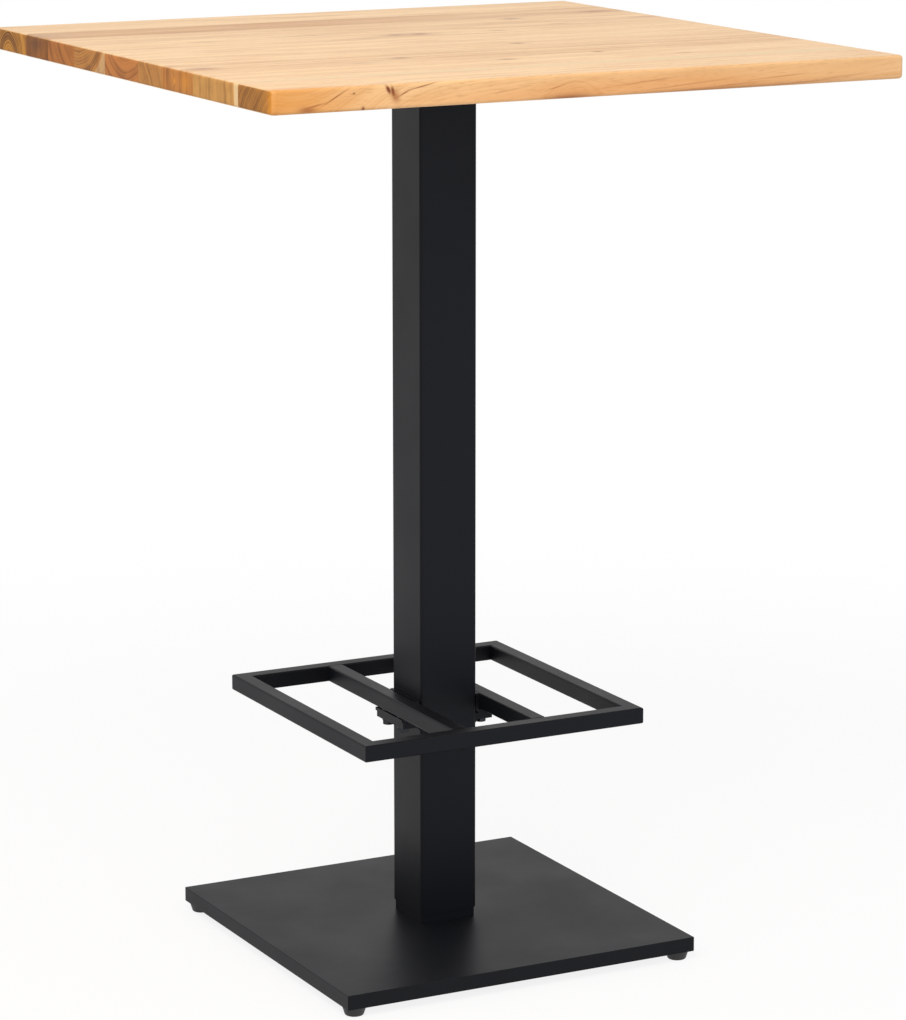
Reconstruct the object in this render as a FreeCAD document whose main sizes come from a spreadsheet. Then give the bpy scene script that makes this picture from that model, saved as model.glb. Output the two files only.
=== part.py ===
import FreeCAD, Part
import math
import os

import Sketcher

# Square bar-height pub table: edge-glued wooden top on a steel pedestal with a foot rest.
#
# Frame: X runs along the boards, +Y to the back, +Z up, origin on the floor under
# the middle of the column. Millimetres. Every sub-part is written to parts/LABEL.step.

os.makedirs("parts", exist_ok=True)
doc = FreeCAD.newDocument("pub_table")

# ---------------------------------------------------------------- driving sizes
SIZES = [
    # wooden top
    ("top_length", 800.0, "length of every board, along X"),
    ("board_1_width", 82.0, "front board"),
    ("board_2_width", 119.0, "second board"),
    ("board_3_width", 85.0, "third board"),
    ("board_4_width", 68.0, "fourth board"),
    ("board_5_width", 97.0, "fifth board, over the column"),
    ("board_6_width", 94.0, "sixth board"),
    ("board_7_width", 81.0, "seventh board"),
    ("board_8_width", 71.0, "eighth board"),
    ("board_9_width", 103.0, "back board"),
    ("top_thickness", 27.0, "thickness of the boards"),
    ("top_corner_radius", 7.0, "corners of the top seen from above"),
    ("top_edge_radius", 4.0, "rounding of the upper and lower edges"),
    # plate under the top
    ("mount_plate_side", 280.0, "side of the steel plate screwed under the top"),
    ("mount_plate_thickness", 5.0, "its thickness"),
    ("mount_plate_corner_radius", 12.0, "its corners"),
    ("slot_length", 14.0, "slots for the wood screws, along Y so that the wood can move"),
    ("slot_inset", 20.0, "from the edges of the plate to the middles of the outer slots"),
    ("wood_screw_radius", 2.5, "shank of the wood screws"),
    ("wood_screw_length", 22.0, "wood screw under its head, with its point"),
    ("wood_screw_point", 4.0, "length of the point"),
    ("wood_screw_head_radius", 4.5, "head of the wood screws"),
    ("wood_screw_head_height", 3.0, "its height"),
    ("wood_screw_head_bevel", 1.0, "bevel round the face of the head"),
    ("wood_washer_radius", 7.5, "washers under the wood screws"),
    # column
    ("column_side", 76.0, "outside of the square column tube"),
    ("column_wall", 2.0, "its wall"),
    ("column_length", 1037.0, "length of the column tube"),
    ("tube_bend_ratio", 1.5, "outer corner radius of a square tube, in walls"),
    ("head_block_height", 12.0, "threaded block welded into the top of the tube"),
    ("screw_inset", 14.0, "from the sides of the welded blocks to the screws in them"),
    ("head_screw_radius", 4.0, "countersunk screws in the head block"),
    ("head_screw_head_radius", 8.0, "their heads"),
    ("head_screw_length", 15.0, "their length with the head"),
    ("head_screw_key_radius", 2.5, "inner radius of their hexagon socket"),
    ("collar_height", 12.0, "foot collar that shows under the tube"),
    ("collar_step", 1.2, "how far the collar stands in from the tube's faces"),
    ("spigot_height", 12.0, "part of the foot flange inside the tube"),
    ("weld_fit", 0.1, "gap between the tube and the blocks welded into it"),
    # base plate
    ("base_side", 470.0, "side of the base plate"),
    ("base_thickness", 18.0, "its thickness"),
    ("base_edge_radius", 0.8, "rounding of its edges"),
    ("base_screw_radius", 5.0, "screws from the plate into the foot flange, shank"),
    ("base_screw_length", 24.0, "their length under the head"),
    ("base_screw_head_radius", 8.0, "their head"),
    ("base_screw_head_height", 10.0, "height of the head"),
    ("base_screw_key_radius", 4.0, "inner radius of the hexagon socket"),
    ("base_screw_key_depth", 5.0, "depth of the hexagon socket"),
    ("head_recess", 1.0, "how far their heads lie inside the counterbores"),
    # levelling glides
    ("glide_height", 11.0, "foot of a glide, from the floor to the plate"),
    ("glide_top_radius", 14.5, "foot of a glide where it meets the plate"),
    ("glide_sole_radius", 11.0, "foot of a glide at the floor, before its rounding"),
    ("glide_sole_rounding", 2.5, "rounding of the sole"),
    ("glide_inset", 15.5, "centre of a glide from the edges of the plate"),
    ("stem_radius", 4.0, "threaded stem of a glide"),
    ("stem_bevel", 1.0, "bevel at the end of the stem"),
    ("stem_roof", 3.5, "steel left in the plate over the threaded hole of a stem"),
    ("stem_head_radius", 6.5, "flange of the stem inside the foot"),
    ("stem_head_height", 3.0, "its height"),
    ("stem_head_lift", 3.0, "its height over the floor"),
    # foot rest
    ("rest_length", 375.0, "outside of the foot rest along X"),
    ("rest_depth", 375.0, "outside of the foot rest along Y"),
    ("rest_height", 293.0, "underside of the foot rest over the floor"),
    ("rail_side", 20.0, "outside of the square rail tube"),
    ("rail_wall", 1.5, "its wall"),
    # brackets
    ("bracket_thickness", 4.0, "steel of the angle brackets"),
    ("bracket_bend", 1.5, "inside of the bend"),
    ("bracket_margin", 8.0, "steel beyond the washers at the ends of brackets and shelves"),
    ("leg_margin", 1.5, "steel over the cup washers at the top of a bracket"),
    ("shelf_thickness", 8.0, "plate welded to the column's side under a bracket"),
    ("shelf_step", 2.0, "how far its outer edge stands in from the bracket's"),
    ("shelf_weld", 4.0, "leg of the weld between its underside and the column"),
    ("bolt_inset", 18.0, "from the edges of the column's side to the bolts"),
    ("bolt_radius", 4.0, "shank of the bolts"),
    ("crossbar_bolt_length", 25.0, "hexagon bolts up into the crossbars, under the head"),
    ("bolt_head_width", 13.0, "their head across flats"),
    ("bolt_head_height", 5.3, "height of the head"),
    ("washer_radius", 7.5, "washers under their heads"),
    ("column_bolt_length", 16.0, "flush bolts into the column's sides, with the head"),
    ("column_bolt_key_radius", 2.5, "inner radius of their hexagon socket"),
    ("cone_land", 0.2, "steel of the bracket left behind the cone of a flush bolt"),
    ("cup_wall", 1.0, "cup washer round the cone of a flush bolt"),
    ("cup_room", 0.3, "between a cup washer and the bend"),
    ("rest_room", 0.3, "between a crossbar and the upright leg of its bracket"),
    ("washer_thickness", 1.6, "thickness of every washer"),
    ("rivet_nut_radius", 5.5, "body of a rivet nut"),
    ("rivet_nut_length", 14.0, "body of a rivet nut behind its flange"),
    ("rivet_flange_radius", 7.5, "flange of a rivet nut"),
    ("rivet_flange", 1.0, "thickness of the flange"),
    # fits
    ("thread_fit", 0.05, "radial gap of a thread drawn as plain cylinders"),
    ("thread_room", 1.5, "threaded hole beyond the end of its screw or stem"),
    ("running_fit", 0.05, "gap round the stem's flange in the foot, which turns on it"),
    ("hole_room", 0.5, "radial room of a clearance hole"),
]

sheet = doc.addObject("Spreadsheet::Sheet", "Sizes")
for row, (alias, number, note) in enumerate(SIZES, start=1):
    sheet.set(f"A{row}", note)
    sheet.set(f"B{row}", str(number))
    sheet.setAlias(f"B{row}", alias)
doc.recompute()

# ------------------------------------------------------------- derived heights
BASE_TOP = "(Sizes.glide_height + Sizes.base_thickness)"
TUBE_FOOT = f"({BASE_TOP} + Sizes.collar_height)"
TUBE_TOP = f"({TUBE_FOOT} + Sizes.column_length)"
TOP_UNDERSIDE = f"({TUBE_TOP} + Sizes.mount_plate_thickness)"
COLUMN_FACE = "(Sizes.column_side / 2)"
TUBE_BORE = "(Sizes.column_side - 2 * Sizes.column_wall)"
COLUMN_RADIUS = "(Sizes.tube_bend_ratio * Sizes.column_wall)"
BORE_RADIUS = f"({COLUMN_RADIUS} - Sizes.column_wall)"
PLUG_SIDE = f"({TUBE_BORE} - 2 * Sizes.weld_fit)"
PLUG_SPAN = f"({PLUG_SIDE} - 2 * Sizes.screw_inset)"
SLOT_SPAN = "(Sizes.mount_plate_side - 2 * Sizes.slot_inset)"
COUNTERBORE = "(Sizes.base_screw_head_height + Sizes.head_recess)"
GLIDE_PLACE = "(Sizes.base_side / 2 - Sizes.glide_inset)"
STEM_HOLE = "(Sizes.stem_radius + Sizes.thread_fit)"
STEM_HOLE_DEPTH = "(Sizes.base_thickness - Sizes.stem_roof)"
NUT_HOLE = "(Sizes.rivet_nut_radius + Sizes.thread_fit)"
BRACKET_X = f"({COLUMN_FACE} + Sizes.rivet_flange)"
BRACKET_Z = "(Sizes.rest_height - Sizes.rivet_flange)"
BOLT_SPAN = "(Sizes.column_side - 2 * Sizes.bolt_inset)"
BOLT_OUT = "(Sizes.bracket_thickness + Sizes.rest_room + Sizes.rail_side / 2)"
CROSSBAR_X = f"({BRACKET_X} + {BOLT_OUT})"
BRACKET_OUT = f"({BOLT_OUT} + Sizes.rail_side / 2)"
BRACKET_LENGTH = f"({BOLT_SPAN} + 2 * (Sizes.washer_radius + Sizes.bracket_margin))"
CONE_DEPTH = "(Sizes.bracket_thickness - Sizes.cone_land)"
CONE_RIM = f"(Sizes.bolt_radius + {CONE_DEPTH})"
CUP_FOOT = "(Sizes.bolt_radius + Sizes.thread_fit + Sizes.cup_wall)"
CUP_RIM = f"({CONE_RIM} + Sizes.thread_fit + Sizes.cup_wall)"
COLUMN_BOLT_UP = f"(Sizes.bracket_bend + Sizes.cup_room + {CUP_RIM})"
BRACKET_UP = f"({COLUMN_BOLT_UP} + {CUP_RIM} + Sizes.leg_margin)"
COLUMN_BOLT_Z = f"({BRACKET_Z} + {COLUMN_BOLT_UP})"
SHELF_Z = f"({BRACKET_Z} - Sizes.bracket_thickness)"
SHELF_OUT = f"(Sizes.rivet_flange + {BRACKET_OUT} - Sizes.shelf_step)"
LEG_FACE = "(Sizes.rivet_flange + Sizes.bracket_thickness)"
WASHER_FACE = f"({LEG_FACE} + Sizes.shelf_thickness)"
HEAD_FACE = f"({WASHER_FACE} + Sizes.washer_thickness)"
REST_X = "(Sizes.rest_length / 2 - Sizes.rail_side / 2)"
REST_Y = "(Sizes.rest_depth / 2 - Sizes.rail_side / 2)"
BOARDS = [f"Sizes.board_{number}_width" for number in range(1, 10)]
TOP_DEPTH = "(" + " + ".join(BOARDS) + ")"

SLOTS_PER_ROW = 4
UP = FreeCAD.Vector(0, 0, 1)
BACKWARD = FreeCAD.Vector(0, 1, 0)
QUARTER_TURN = math.pi / 2
CLOSE = 1e-4                                     # two lengths closer than this are the same


def value(expression):
    """Number that an expression on the sheet gives now."""
    return float(sheet.evalExpression(expression))


# ------------------------------------------------------------- sketch helpers
def new_body(label):
    body = doc.addObject("PartDesign::Body", label)
    body.Label = label
    return body


def origin_plane(body, role):
    return next(item for item in body.Origin.OriginFeatures if item.Role == role)


def sketch_on(body, role, name, lift="0"):
    """Sketch on an origin plane of the body, lifted along the plane's normal."""
    sketch = body.newObject("Sketcher::SketchObject", name)
    sketch.AttachmentSupport = (origin_plane(body, role), [""])
    sketch.MapMode = "FlatFace"
    sketch.setExpression("AttachmentOffset.Base.z", lift)
    return sketch


def bind(sketch, constraint, expression):
    """Add a dimension and tie it to the sheet."""
    index = sketch.addConstraint(constraint)
    sketch.setExpression(f"Constraints[{index}]", expression)


def circle(sketch, x, y, radius):
    centre = FreeCAD.Vector(value(x), value(y), 0)
    index = sketch.addGeometry(Part.Circle(centre, UP, value(radius)))
    bind(sketch, Sketcher.Constraint("Radius", index, value(radius)), radius)
    bind(sketch, Sketcher.Constraint("DistanceX", -1, 1, index, 3, value(x)), x)
    bind(sketch, Sketcher.Constraint("DistanceY", -1, 1, index, 3, value(y)), y)


def polygon(sketch, corners):
    """Closed outline through corners, each a pair of expressions."""
    points = [FreeCAD.Vector(value(x), value(y), 0) for x, y in corners]
    count = len(points)
    first = sketch.GeometryCount
    for number in range(count):
        sketch.addGeometry(Part.LineSegment(points[number], points[(number + 1) % count]))
    for number in range(count):
        follower = first + (number + 1) % count
        sketch.addConstraint(Sketcher.Constraint("Coincident", first + number, 2, follower, 1))
    for number, (x, y) in enumerate(corners):
        bind(sketch, Sketcher.Constraint("DistanceX", -1, 1, first + number, 1, points[number].x), x)
        bind(sketch, Sketcher.Constraint("DistanceY", -1, 1, first + number, 1, points[number].y), y)


def rounded_rectangle(sketch, width, depth, radius):
    """Rectangle with round corners, centred on the sketch's origin."""
    half_x = value(width) / 2
    half_y = value(depth) / 2
    round_off = value(radius)
    in_x = half_x - round_off
    in_y = half_y - round_off
    first = sketch.GeometryCount
    sides = [
        ((-in_x, -half_y), (in_x, -half_y)),
        ((half_x, -in_y), (half_x, in_y)),
        ((in_x, half_y), (-in_x, half_y)),
        ((-half_x, in_y), (-half_x, -in_y)),
    ]
    centres = [(in_x, -in_y), (in_x, in_y), (-in_x, in_y), (-in_x, -in_y)]
    for start, end in sides:
        sketch.addGeometry(Part.LineSegment(FreeCAD.Vector(*start, 0), FreeCAD.Vector(*end, 0)))
    for number, centre in enumerate(centres):
        start_angle = (number - 1) * QUARTER_TURN
        full = Part.Circle(FreeCAD.Vector(*centre, 0), UP, round_off)
        sketch.addGeometry(Part.ArcOfCircle(full, start_angle, start_angle + QUARTER_TURN))
    for number in range(4):
        side = first + number
        arc = first + 4 + number
        next_side = first + (number + 1) % 4
        sketch.addConstraint(Sketcher.Constraint("Tangent", side, 2, arc, 1))
        sketch.addConstraint(Sketcher.Constraint("Tangent", arc, 2, next_side, 1))
        straight = "Horizontal" if number % 2 == 0 else "Vertical"
        sketch.addConstraint(Sketcher.Constraint(straight, side))
    for number in range(1, 4):
        sketch.addConstraint(Sketcher.Constraint("Equal", first + 4, first + 4 + number))
    bind(sketch, Sketcher.Constraint("Radius", first + 4, round_off), radius)
    bind(sketch, Sketcher.Constraint("DistanceX", -1, 1, first + 1, 1, half_x), f"{width} / 2")
    bind(sketch, Sketcher.Constraint("DistanceX", first + 3, 1, -1, 1, half_x), f"{width} / 2")
    bind(sketch, Sketcher.Constraint("DistanceY", -1, 1, first + 2, 1, half_y), f"{depth} / 2")
    bind(sketch, Sketcher.Constraint("DistanceY", first, 1, -1, 1, half_y), f"{depth} / 2")


def obround(sketch, x, y, length, radius):
    """Slot outline round (x, y), long along the vertical axis, alone in its sketch."""
    centre_x = value(x)
    centre_y = value(y)
    half_round = value(radius)
    reach = value(length) / 2 - half_round
    upper = Part.Circle(FreeCAD.Vector(centre_x, centre_y + reach, 0), UP, half_round)
    lower = Part.Circle(FreeCAD.Vector(centre_x, centre_y - reach, 0), UP, half_round)
    sketch.addGeometry(Part.ArcOfCircle(upper, 0, math.pi))
    sketch.addGeometry(Part.ArcOfCircle(lower, math.pi, 2 * math.pi))
    left = centre_x - half_round
    right = centre_x + half_round
    sketch.addGeometry(Part.LineSegment(FreeCAD.Vector(left, centre_y + reach, 0),
                                        FreeCAD.Vector(left, centre_y - reach, 0)))
    sketch.addGeometry(Part.LineSegment(FreeCAD.Vector(right, centre_y - reach, 0),
                                        FreeCAD.Vector(right, centre_y + reach, 0)))
    for pair in ((0, 2, 2, 1), (2, 2, 1, 1), (1, 2, 3, 1), (3, 2, 0, 1)):
        sketch.addConstraint(Sketcher.Constraint("Tangent", *pair))
    sketch.addConstraint(Sketcher.Constraint("Vertical", 2))
    sketch.addConstraint(Sketcher.Constraint("Equal", 0, 1))
    reach_size = f"({length} / 2 - {radius})"
    bind(sketch, Sketcher.Constraint("Radius", 0, half_round), radius)
    bind(sketch, Sketcher.Constraint("DistanceX", -1, 1, 0, 3, centre_x), x)
    bind(sketch, Sketcher.Constraint("DistanceY", -1, 1, 0, 3, centre_y + reach), f"{y} + {reach_size}")
    bind(sketch, Sketcher.Constraint("DistanceY", -1, 1, 1, 3, centre_y - reach), f"{y} - {reach_size}")


# ------------------------------------------------------------ feature helpers
def pad(body, sketch, length, name="Pad"):
    feature = body.newObject("PartDesign::Pad", name)
    feature.Profile = sketch
    feature.setExpression("Length", length)
    doc.recompute()
    return feature


def pocket(body, sketch, depth, name="Pocket", upward=False):
    """Cut along minus the sketch's normal, or along it when upward; depth None is right through."""
    before = body.Shape.Volume
    feature = body.newObject("PartDesign::Pocket", name)
    feature.Profile = sketch
    feature.Reversed = upward
    if depth is None:
        feature.Type = "ThroughAll"
    else:
        feature.setExpression("Length", depth)
    doc.recompute()
    if not body.Shape.Volume < before - CLOSE:
        raise RuntimeError(f"{body.Label}: {name} removes nothing")
    return feature


def turn(body, kind, sketch, name, axis="V_Axis"):
    """Full turn of a profile about one of its sketch's axes; kind is Revolution or Groove."""
    feature = body.newObject(f"PartDesign::{kind}", name)
    feature.Profile = sketch
    feature.ReferenceAxis = (sketch, [axis])
    feature.Angle = 360
    doc.recompute()
    return feature


def revolve(body, sketch):
    return turn(body, "Revolution", sketch, "Revolution")


def groove(body, sketch, name, axis="V_Axis"):
    before = body.Shape.Volume
    feature = turn(body, "Groove", sketch, name, axis)
    if not body.Shape.Volume < before - CLOSE:
        raise RuntimeError(f"{body.Label}: {name} removes nothing")
    return feature


def grid(body, sketch, originals, count_x, span_x, count_y, span_y, name="Grid"):
    """Repeat features along the sketch's two axes, spans measured from first to last."""
    feature = body.newObject("PartDesign::LinearPattern", name)
    feature.Originals = originals
    feature.Direction = (sketch, ["H_Axis"])
    feature.setExpression("Length", span_x)
    feature.Occurrences = count_x
    feature.Direction2 = (sketch, ["V_Axis"])
    feature.setExpression("Length2", span_y)
    feature.Occurrences2 = count_y
    body.Tip = feature
    doc.recompute()
    return feature


def edges_where(feature, wanted):
    names = []
    for number, edge in enumerate(feature.Shape.Edges, start=1):
        if wanted(edge):
            names.append(f"Edge{number}")
    if not names:
        raise RuntimeError(f"{feature.Label}: no edge to dress")
    return names


def dress(body, kind, base, wanted, size, name):
    """Fillet (size = radius) or chamfer (size = width) on the edges that wanted picks."""
    feature = body.newObject(f"PartDesign::{kind}", name)
    feature.Base = (base, edges_where(base, wanted))
    feature.setExpression("Radius" if kind == "Fillet" else "Size", size)
    doc.recompute()
    return feature


def is_upright(edge):
    box = edge.BoundBox
    return box.ZLength > CLOSE and box.XLength < CLOSE and box.YLength < CLOSE


def is_level(edge):
    return edge.BoundBox.ZLength < CLOSE


def place(item, x="0", y="0", z="0", axis=None, angle=0):
    """Put a body in the table's frame, turned by angle degrees about axis."""
    if axis is not None:
        item.Placement = FreeCAD.Placement(FreeCAD.Vector(), FreeCAD.Rotation(axis, angle))
    item.setExpression("Placement.Base.x", x)
    item.setExpression("Placement.Base.y", y)
    item.setExpression("Placement.Base.z", z)
    return item


# ------------------------------------------------------------------ wooden top
def wood_screw_holes():
    """Pilot holes of the wood screws, one tool for all the boards they fall in."""
    depth = ("Sizes.wood_screw_length + Sizes.thread_room"
             " - Sizes.washer_thickness - Sizes.mount_plate_thickness")
    holes = []
    for row_sign in ("-", ""):
        for step in range(SLOTS_PER_ROW):
            hole = doc.addObject("Part::Cylinder", "pilot_hole")
            hole.setExpression("Radius", "Sizes.wood_screw_radius + Sizes.thread_fit")
            hole.setExpression("Height", depth)
            x = f"{row_sign}{SLOT_SPAN} / 2"
            y = f"-{SLOT_SPAN} / 2 + {SLOT_SPAN} * {step} / {SLOTS_PER_ROW - 1}"
            holes.append(place(hole, x, y, TOP_UNDERSIDE))
    tool = doc.addObject("Part::Compound", "pilot_holes")
    tool.Links = holes
    return tool


def make_board(number, holes):
    """Board number counts from the front; the first and the last carry the round corners."""
    width = BOARDS[number - 1]
    body = new_body(f"board_{number}_body")
    half = "Sizes.top_length / 2"
    outline = sketch_on(body, "XY_Plane", "board_outline")
    corners = [(f"-{half}", "0"), (half, "0"), (half, width), (f"-{half}", width)]
    polygon(outline, corners)
    shape = pad(body, outline, "Sizes.top_thickness")
    far_side = value(width)
    seams = [0.0, far_side]
    if number == 1:
        seams = [far_side]
    if number == len(BOARDS):
        seams = [0.0]

    def on_seam(edge):
        box = edge.BoundBox
        return any(abs(box.YMin - y) < CLOSE and abs(box.YMax - y) < CLOSE for y in seams)

    if len(seams) == 1:
        shape = dress(body, "Fillet", shape, lambda edge: is_upright(edge) and not on_seam(edge),
                      "Sizes.top_corner_radius", "RoundCorners")
    dress(body, "Fillet", shape, lambda edge: is_level(edge) and not on_seam(edge),
          "Sizes.top_edge_radius", "RoundEdges")
    start = " + ".join([f"-{TOP_DEPTH} / 2"] + BOARDS[:number - 1])
    place(body, "0", start, TOP_UNDERSIDE)
    board = doc.addObject("Part::Cut", f"top_board_{number}")
    board.Base = body
    board.Tool = holes
    board.Label = f"top_board_{number}"
    return board


# ------------------------------------------------------ plate and screws on top
def make_mount_plate():
    """Steel plate under the top: slots for the wood, countersunk holes for the column."""
    body = new_body("mount_plate")
    outline = sketch_on(body, "XY_Plane", "plate_outline")
    rounded_rectangle(outline, "Sizes.mount_plate_side", "Sizes.mount_plate_side",
                      "Sizes.mount_plate_corner_radius")
    pad(body, outline, "Sizes.mount_plate_thickness")

    slot = sketch_on(body, "XY_Plane", "slot_outline", "Sizes.mount_plate_thickness")
    slot_radius = "(Sizes.wood_screw_radius + Sizes.hole_room)"
    corner = f"-{SLOT_SPAN} / 2"
    obround(slot, corner, corner, "Sizes.slot_length", slot_radius)
    cut = pocket(body, slot, None, "FirstSlot")
    grid(body, slot, [cut], 2, SLOT_SPAN, SLOTS_PER_ROW, SLOT_SPAN, "Slots")

    seat = sketch_on(body, "XY_Plane", "screw_place", "Sizes.mount_plate_thickness")
    corner = f"-{PLUG_SPAN} / 2"
    clear = "(Sizes.head_screw_radius + Sizes.hole_room)"
    circle(seat, corner, corner, clear)
    drilled = pocket(body, seat, None, "FirstScrewHole")
    cone = sketch_on(body, "XZ_Plane", "countersink_profile", f"{PLUG_SPAN} / 2")
    thickness = "Sizes.mount_plate_thickness"
    rim = "(Sizes.head_screw_head_radius + Sizes.thread_fit)"
    cone_depth = f"({rim} - {clear})"
    polygon(cone, [("0", thickness), (rim, thickness), (clear, f"{thickness} - {cone_depth}"),
                   ("0", f"{thickness} - {cone_depth}")])
    cone.setExpression("AttachmentOffset.Base.x", corner)
    sunk = groove(body, cone, "FirstCountersink")
    grid(body, seat, [drilled, sunk], 2, PLUG_SPAN, 2, PLUG_SPAN, "ScrewHoles")
    return place(body, z=TUBE_TOP)


def turned_group(label, profile, span, rows=2):
    """Two columns of turned pieces, a span apart; profile corners are (radius, height)."""
    body = new_body(label)
    sketch = sketch_on(body, "XZ_Plane", "profile", f"{span} / 2")
    sketch.setExpression("AttachmentOffset.Base.x", f"-{span} / 2")
    polygon(sketch, profile)
    turned = revolve(body, sketch)
    flat = sketch_on(body, "XY_Plane", "grid_axes")
    grid(body, flat, [turned], 2, span, rows, span)
    return body


def make_wood_screws():
    """Eight pan-head screws that hold the plate to the boards, heads below the plate."""
    head = "Sizes.wood_screw_head_height"
    rim = "Sizes.wood_screw_head_radius"
    bevel = "Sizes.wood_screw_head_bevel"
    radius = "Sizes.wood_screw_radius"
    tip = f"({head} + Sizes.wood_screw_length)"
    profile = [("0", "0"), (f"{rim} - {bevel}", "0"), (rim, bevel), (rim, head),
               (radius, head), (radius, f"{tip} - Sizes.wood_screw_point"), ("0", tip)]
    body = turned_group("wood_screws", profile, SLOT_SPAN, SLOTS_PER_ROW)
    return place(body, z=f"{TUBE_TOP} - Sizes.washer_thickness - {head}")


def ring_profile(inner, outer, height):
    return [(inner, "0"), (outer, "0"), (outer, height), (inner, height)]


def make_wood_washers():
    inner = "(Sizes.wood_screw_radius + Sizes.hole_room)"
    profile = ring_profile(inner, "Sizes.wood_washer_radius", "Sizes.washer_thickness")
    body = turned_group("wood_washers", profile, SLOT_SPAN, SLOTS_PER_ROW)
    return place(body, z=f"{TUBE_TOP} - Sizes.washer_thickness")


def make_head_screws():
    """Four countersunk screws, flush in the plate and threaded into the head block."""
    top = "Sizes.head_screw_length"
    radius = "Sizes.head_screw_radius"
    rim = "Sizes.head_screw_head_radius"
    key = "Sizes.head_screw_key_radius"
    cone_foot = f"({top} - {rim} + {radius})"
    profile = [("0", "0"), (radius, "0"), (radius, cone_foot), (rim, top), (key, top),
               (key, cone_foot), ("0", cone_foot)]
    body = turned_group("head_screws", profile, PLUG_SPAN)
    return place(body, z=f"{TOP_UNDERSIDE} - {top}")


# ---------------------------------------------------------------------- column
def drill_square(body, span, radius, depth, lift, name, upward=False):
    """Four like holes on a square round the Z axis."""
    sketch = sketch_on(body, "XY_Plane", f"{name}_place", lift)
    circle(sketch, f"-{span} / 2", f"-{span} / 2", radius)
    first = pocket(body, sketch, depth, f"{name}_first", upward)
    return grid(body, sketch, [first], 2, span, 2, span, f"{name}_square")


def make_head_block():
    body = new_body("head_block")
    outline = sketch_on(body, "XY_Plane", "block_outline")
    rounded_rectangle(outline, PLUG_SIDE, PLUG_SIDE, COLUMN_RADIUS)
    pad(body, outline, "Sizes.head_block_height")
    radius = "(Sizes.head_screw_radius + Sizes.thread_fit)"
    drill_square(body, PLUG_SPAN, radius, None, "Sizes.head_block_height", "thread")
    return place(body, z=f"{TUBE_TOP} - Sizes.head_block_height")


def make_column():
    """Square tube with two rivet-nut holes through each side face."""
    body = new_body("column_tube")
    section = sketch_on(body, "XY_Plane", "section")
    rounded_rectangle(section, "Sizes.column_side", "Sizes.column_side", COLUMN_RADIUS)
    rounded_rectangle(section, TUBE_BORE, TUBE_BORE, BORE_RADIUS)
    pad(body, section, "Sizes.column_length")
    sides = sketch_on(body, "YZ_Plane", "nut_places", "Sizes.column_side")
    height = f"({COLUMN_BOLT_Z} - {TUBE_FOOT})"
    for sign in ("-", ""):
        circle(sides, f"{sign}{BOLT_SPAN} / 2", height, NUT_HOLE)
    pocket(body, sides, None, "NutHoles")
    return place(body, z=TUBE_FOOT)


def make_foot_flange():
    """Solid block welded to the tube: a collar that shows, and a spigot inside the tube."""
    body = new_body("foot_flange")
    collar = sketch_on(body, "XY_Plane", "collar_outline")
    side = "(Sizes.column_side - 2 * Sizes.collar_step)"
    rounded_rectangle(collar, side, side, COLUMN_RADIUS)
    pad(body, collar, "Sizes.collar_height", "Collar")
    spigot = sketch_on(body, "XY_Plane", "spigot_outline", "Sizes.collar_height")
    rounded_rectangle(spigot, PLUG_SIDE, PLUG_SIDE, COLUMN_RADIUS)
    pad(body, spigot, "Sizes.spigot_height", "Spigot")
    radius = "(Sizes.base_screw_radius + Sizes.thread_fit)"
    under_head = f"(Sizes.base_thickness - {COUNTERBORE})"
    depth = f"(Sizes.base_screw_length - {under_head} + Sizes.thread_room)"
    drill_square(body, PLUG_SPAN, radius, depth, "0", "thread", upward=True)
    return place(body, z=BASE_TOP)


# ------------------------------------------------------------------ base plate
def make_base_plate():
    body = new_body("base_plate")
    half = "Sizes.base_side / 2"
    outline = sketch_on(body, "XY_Plane", "plate_outline")
    polygon(outline, [(f"-{half}", f"-{half}"), (half, f"-{half}"), (half, half), (f"-{half}", half)])
    shape = pad(body, outline, "Sizes.base_thickness")
    dress(body, "Fillet", shape, lambda edge: True, "Sizes.base_edge_radius", "BrokenEdges")
    clear = "(Sizes.base_screw_radius + Sizes.hole_room)"
    rim = "(Sizes.base_screw_head_radius + Sizes.hole_room)"
    drill_square(body, PLUG_SPAN, clear, None, "0", "screw", upward=True)
    drill_square(body, PLUG_SPAN, rim, COUNTERBORE, "0", "counterbore", upward=True)
    drill_square(body, f"(2 * {GLIDE_PLACE})", STEM_HOLE, STEM_HOLE_DEPTH, "0", "glide_thread",
                 upward=True)
    return place(body, z="Sizes.glide_height")


def make_base_screws():
    """Four socket-head screws, from below through the plate into the foot flange."""
    head = "Sizes.base_screw_head_height"
    rim = "Sizes.base_screw_head_radius"
    radius = "Sizes.base_screw_radius"
    length = f"({head} + Sizes.base_screw_length)"
    key = "Sizes.base_screw_key_radius"
    profile = [("0", "Sizes.base_screw_key_depth"), (key, "Sizes.base_screw_key_depth"), (key, "0"),
               (rim, "0"), (rim, head), (radius, head), (radius, length), ("0", length)]
    body = turned_group("base_screws", profile, PLUG_SPAN)
    return place(body, z="Sizes.glide_height + Sizes.head_recess")


# --------------------------------------------------------------------- glides
def make_stem(label, x_sign, y_sign):
    """Threaded steel stem, drawn at its major diameter, with a flange moulded round by the foot."""
    body = new_body(label)
    profile = sketch_on(body, "XZ_Plane", "profile")
    flange_top = "(Sizes.stem_head_lift + Sizes.stem_head_height)"
    tip = f"(Sizes.glide_height + {STEM_HOLE_DEPTH} - Sizes.thread_room)"
    bevel = "Sizes.stem_bevel"
    polygon(profile, [("0", "Sizes.stem_head_lift"), ("Sizes.stem_head_radius", "Sizes.stem_head_lift"),
                      ("Sizes.stem_head_radius", flange_top), ("Sizes.stem_radius", flange_top),
                      ("Sizes.stem_radius", f"{tip} - {bevel}"), (f"Sizes.stem_radius - {bevel}", tip),
                      ("0", tip)])
    revolve(body, profile)
    return place(body, f"{x_sign}{GLIDE_PLACE}", f"{y_sign}{GLIDE_PLACE}")


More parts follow.
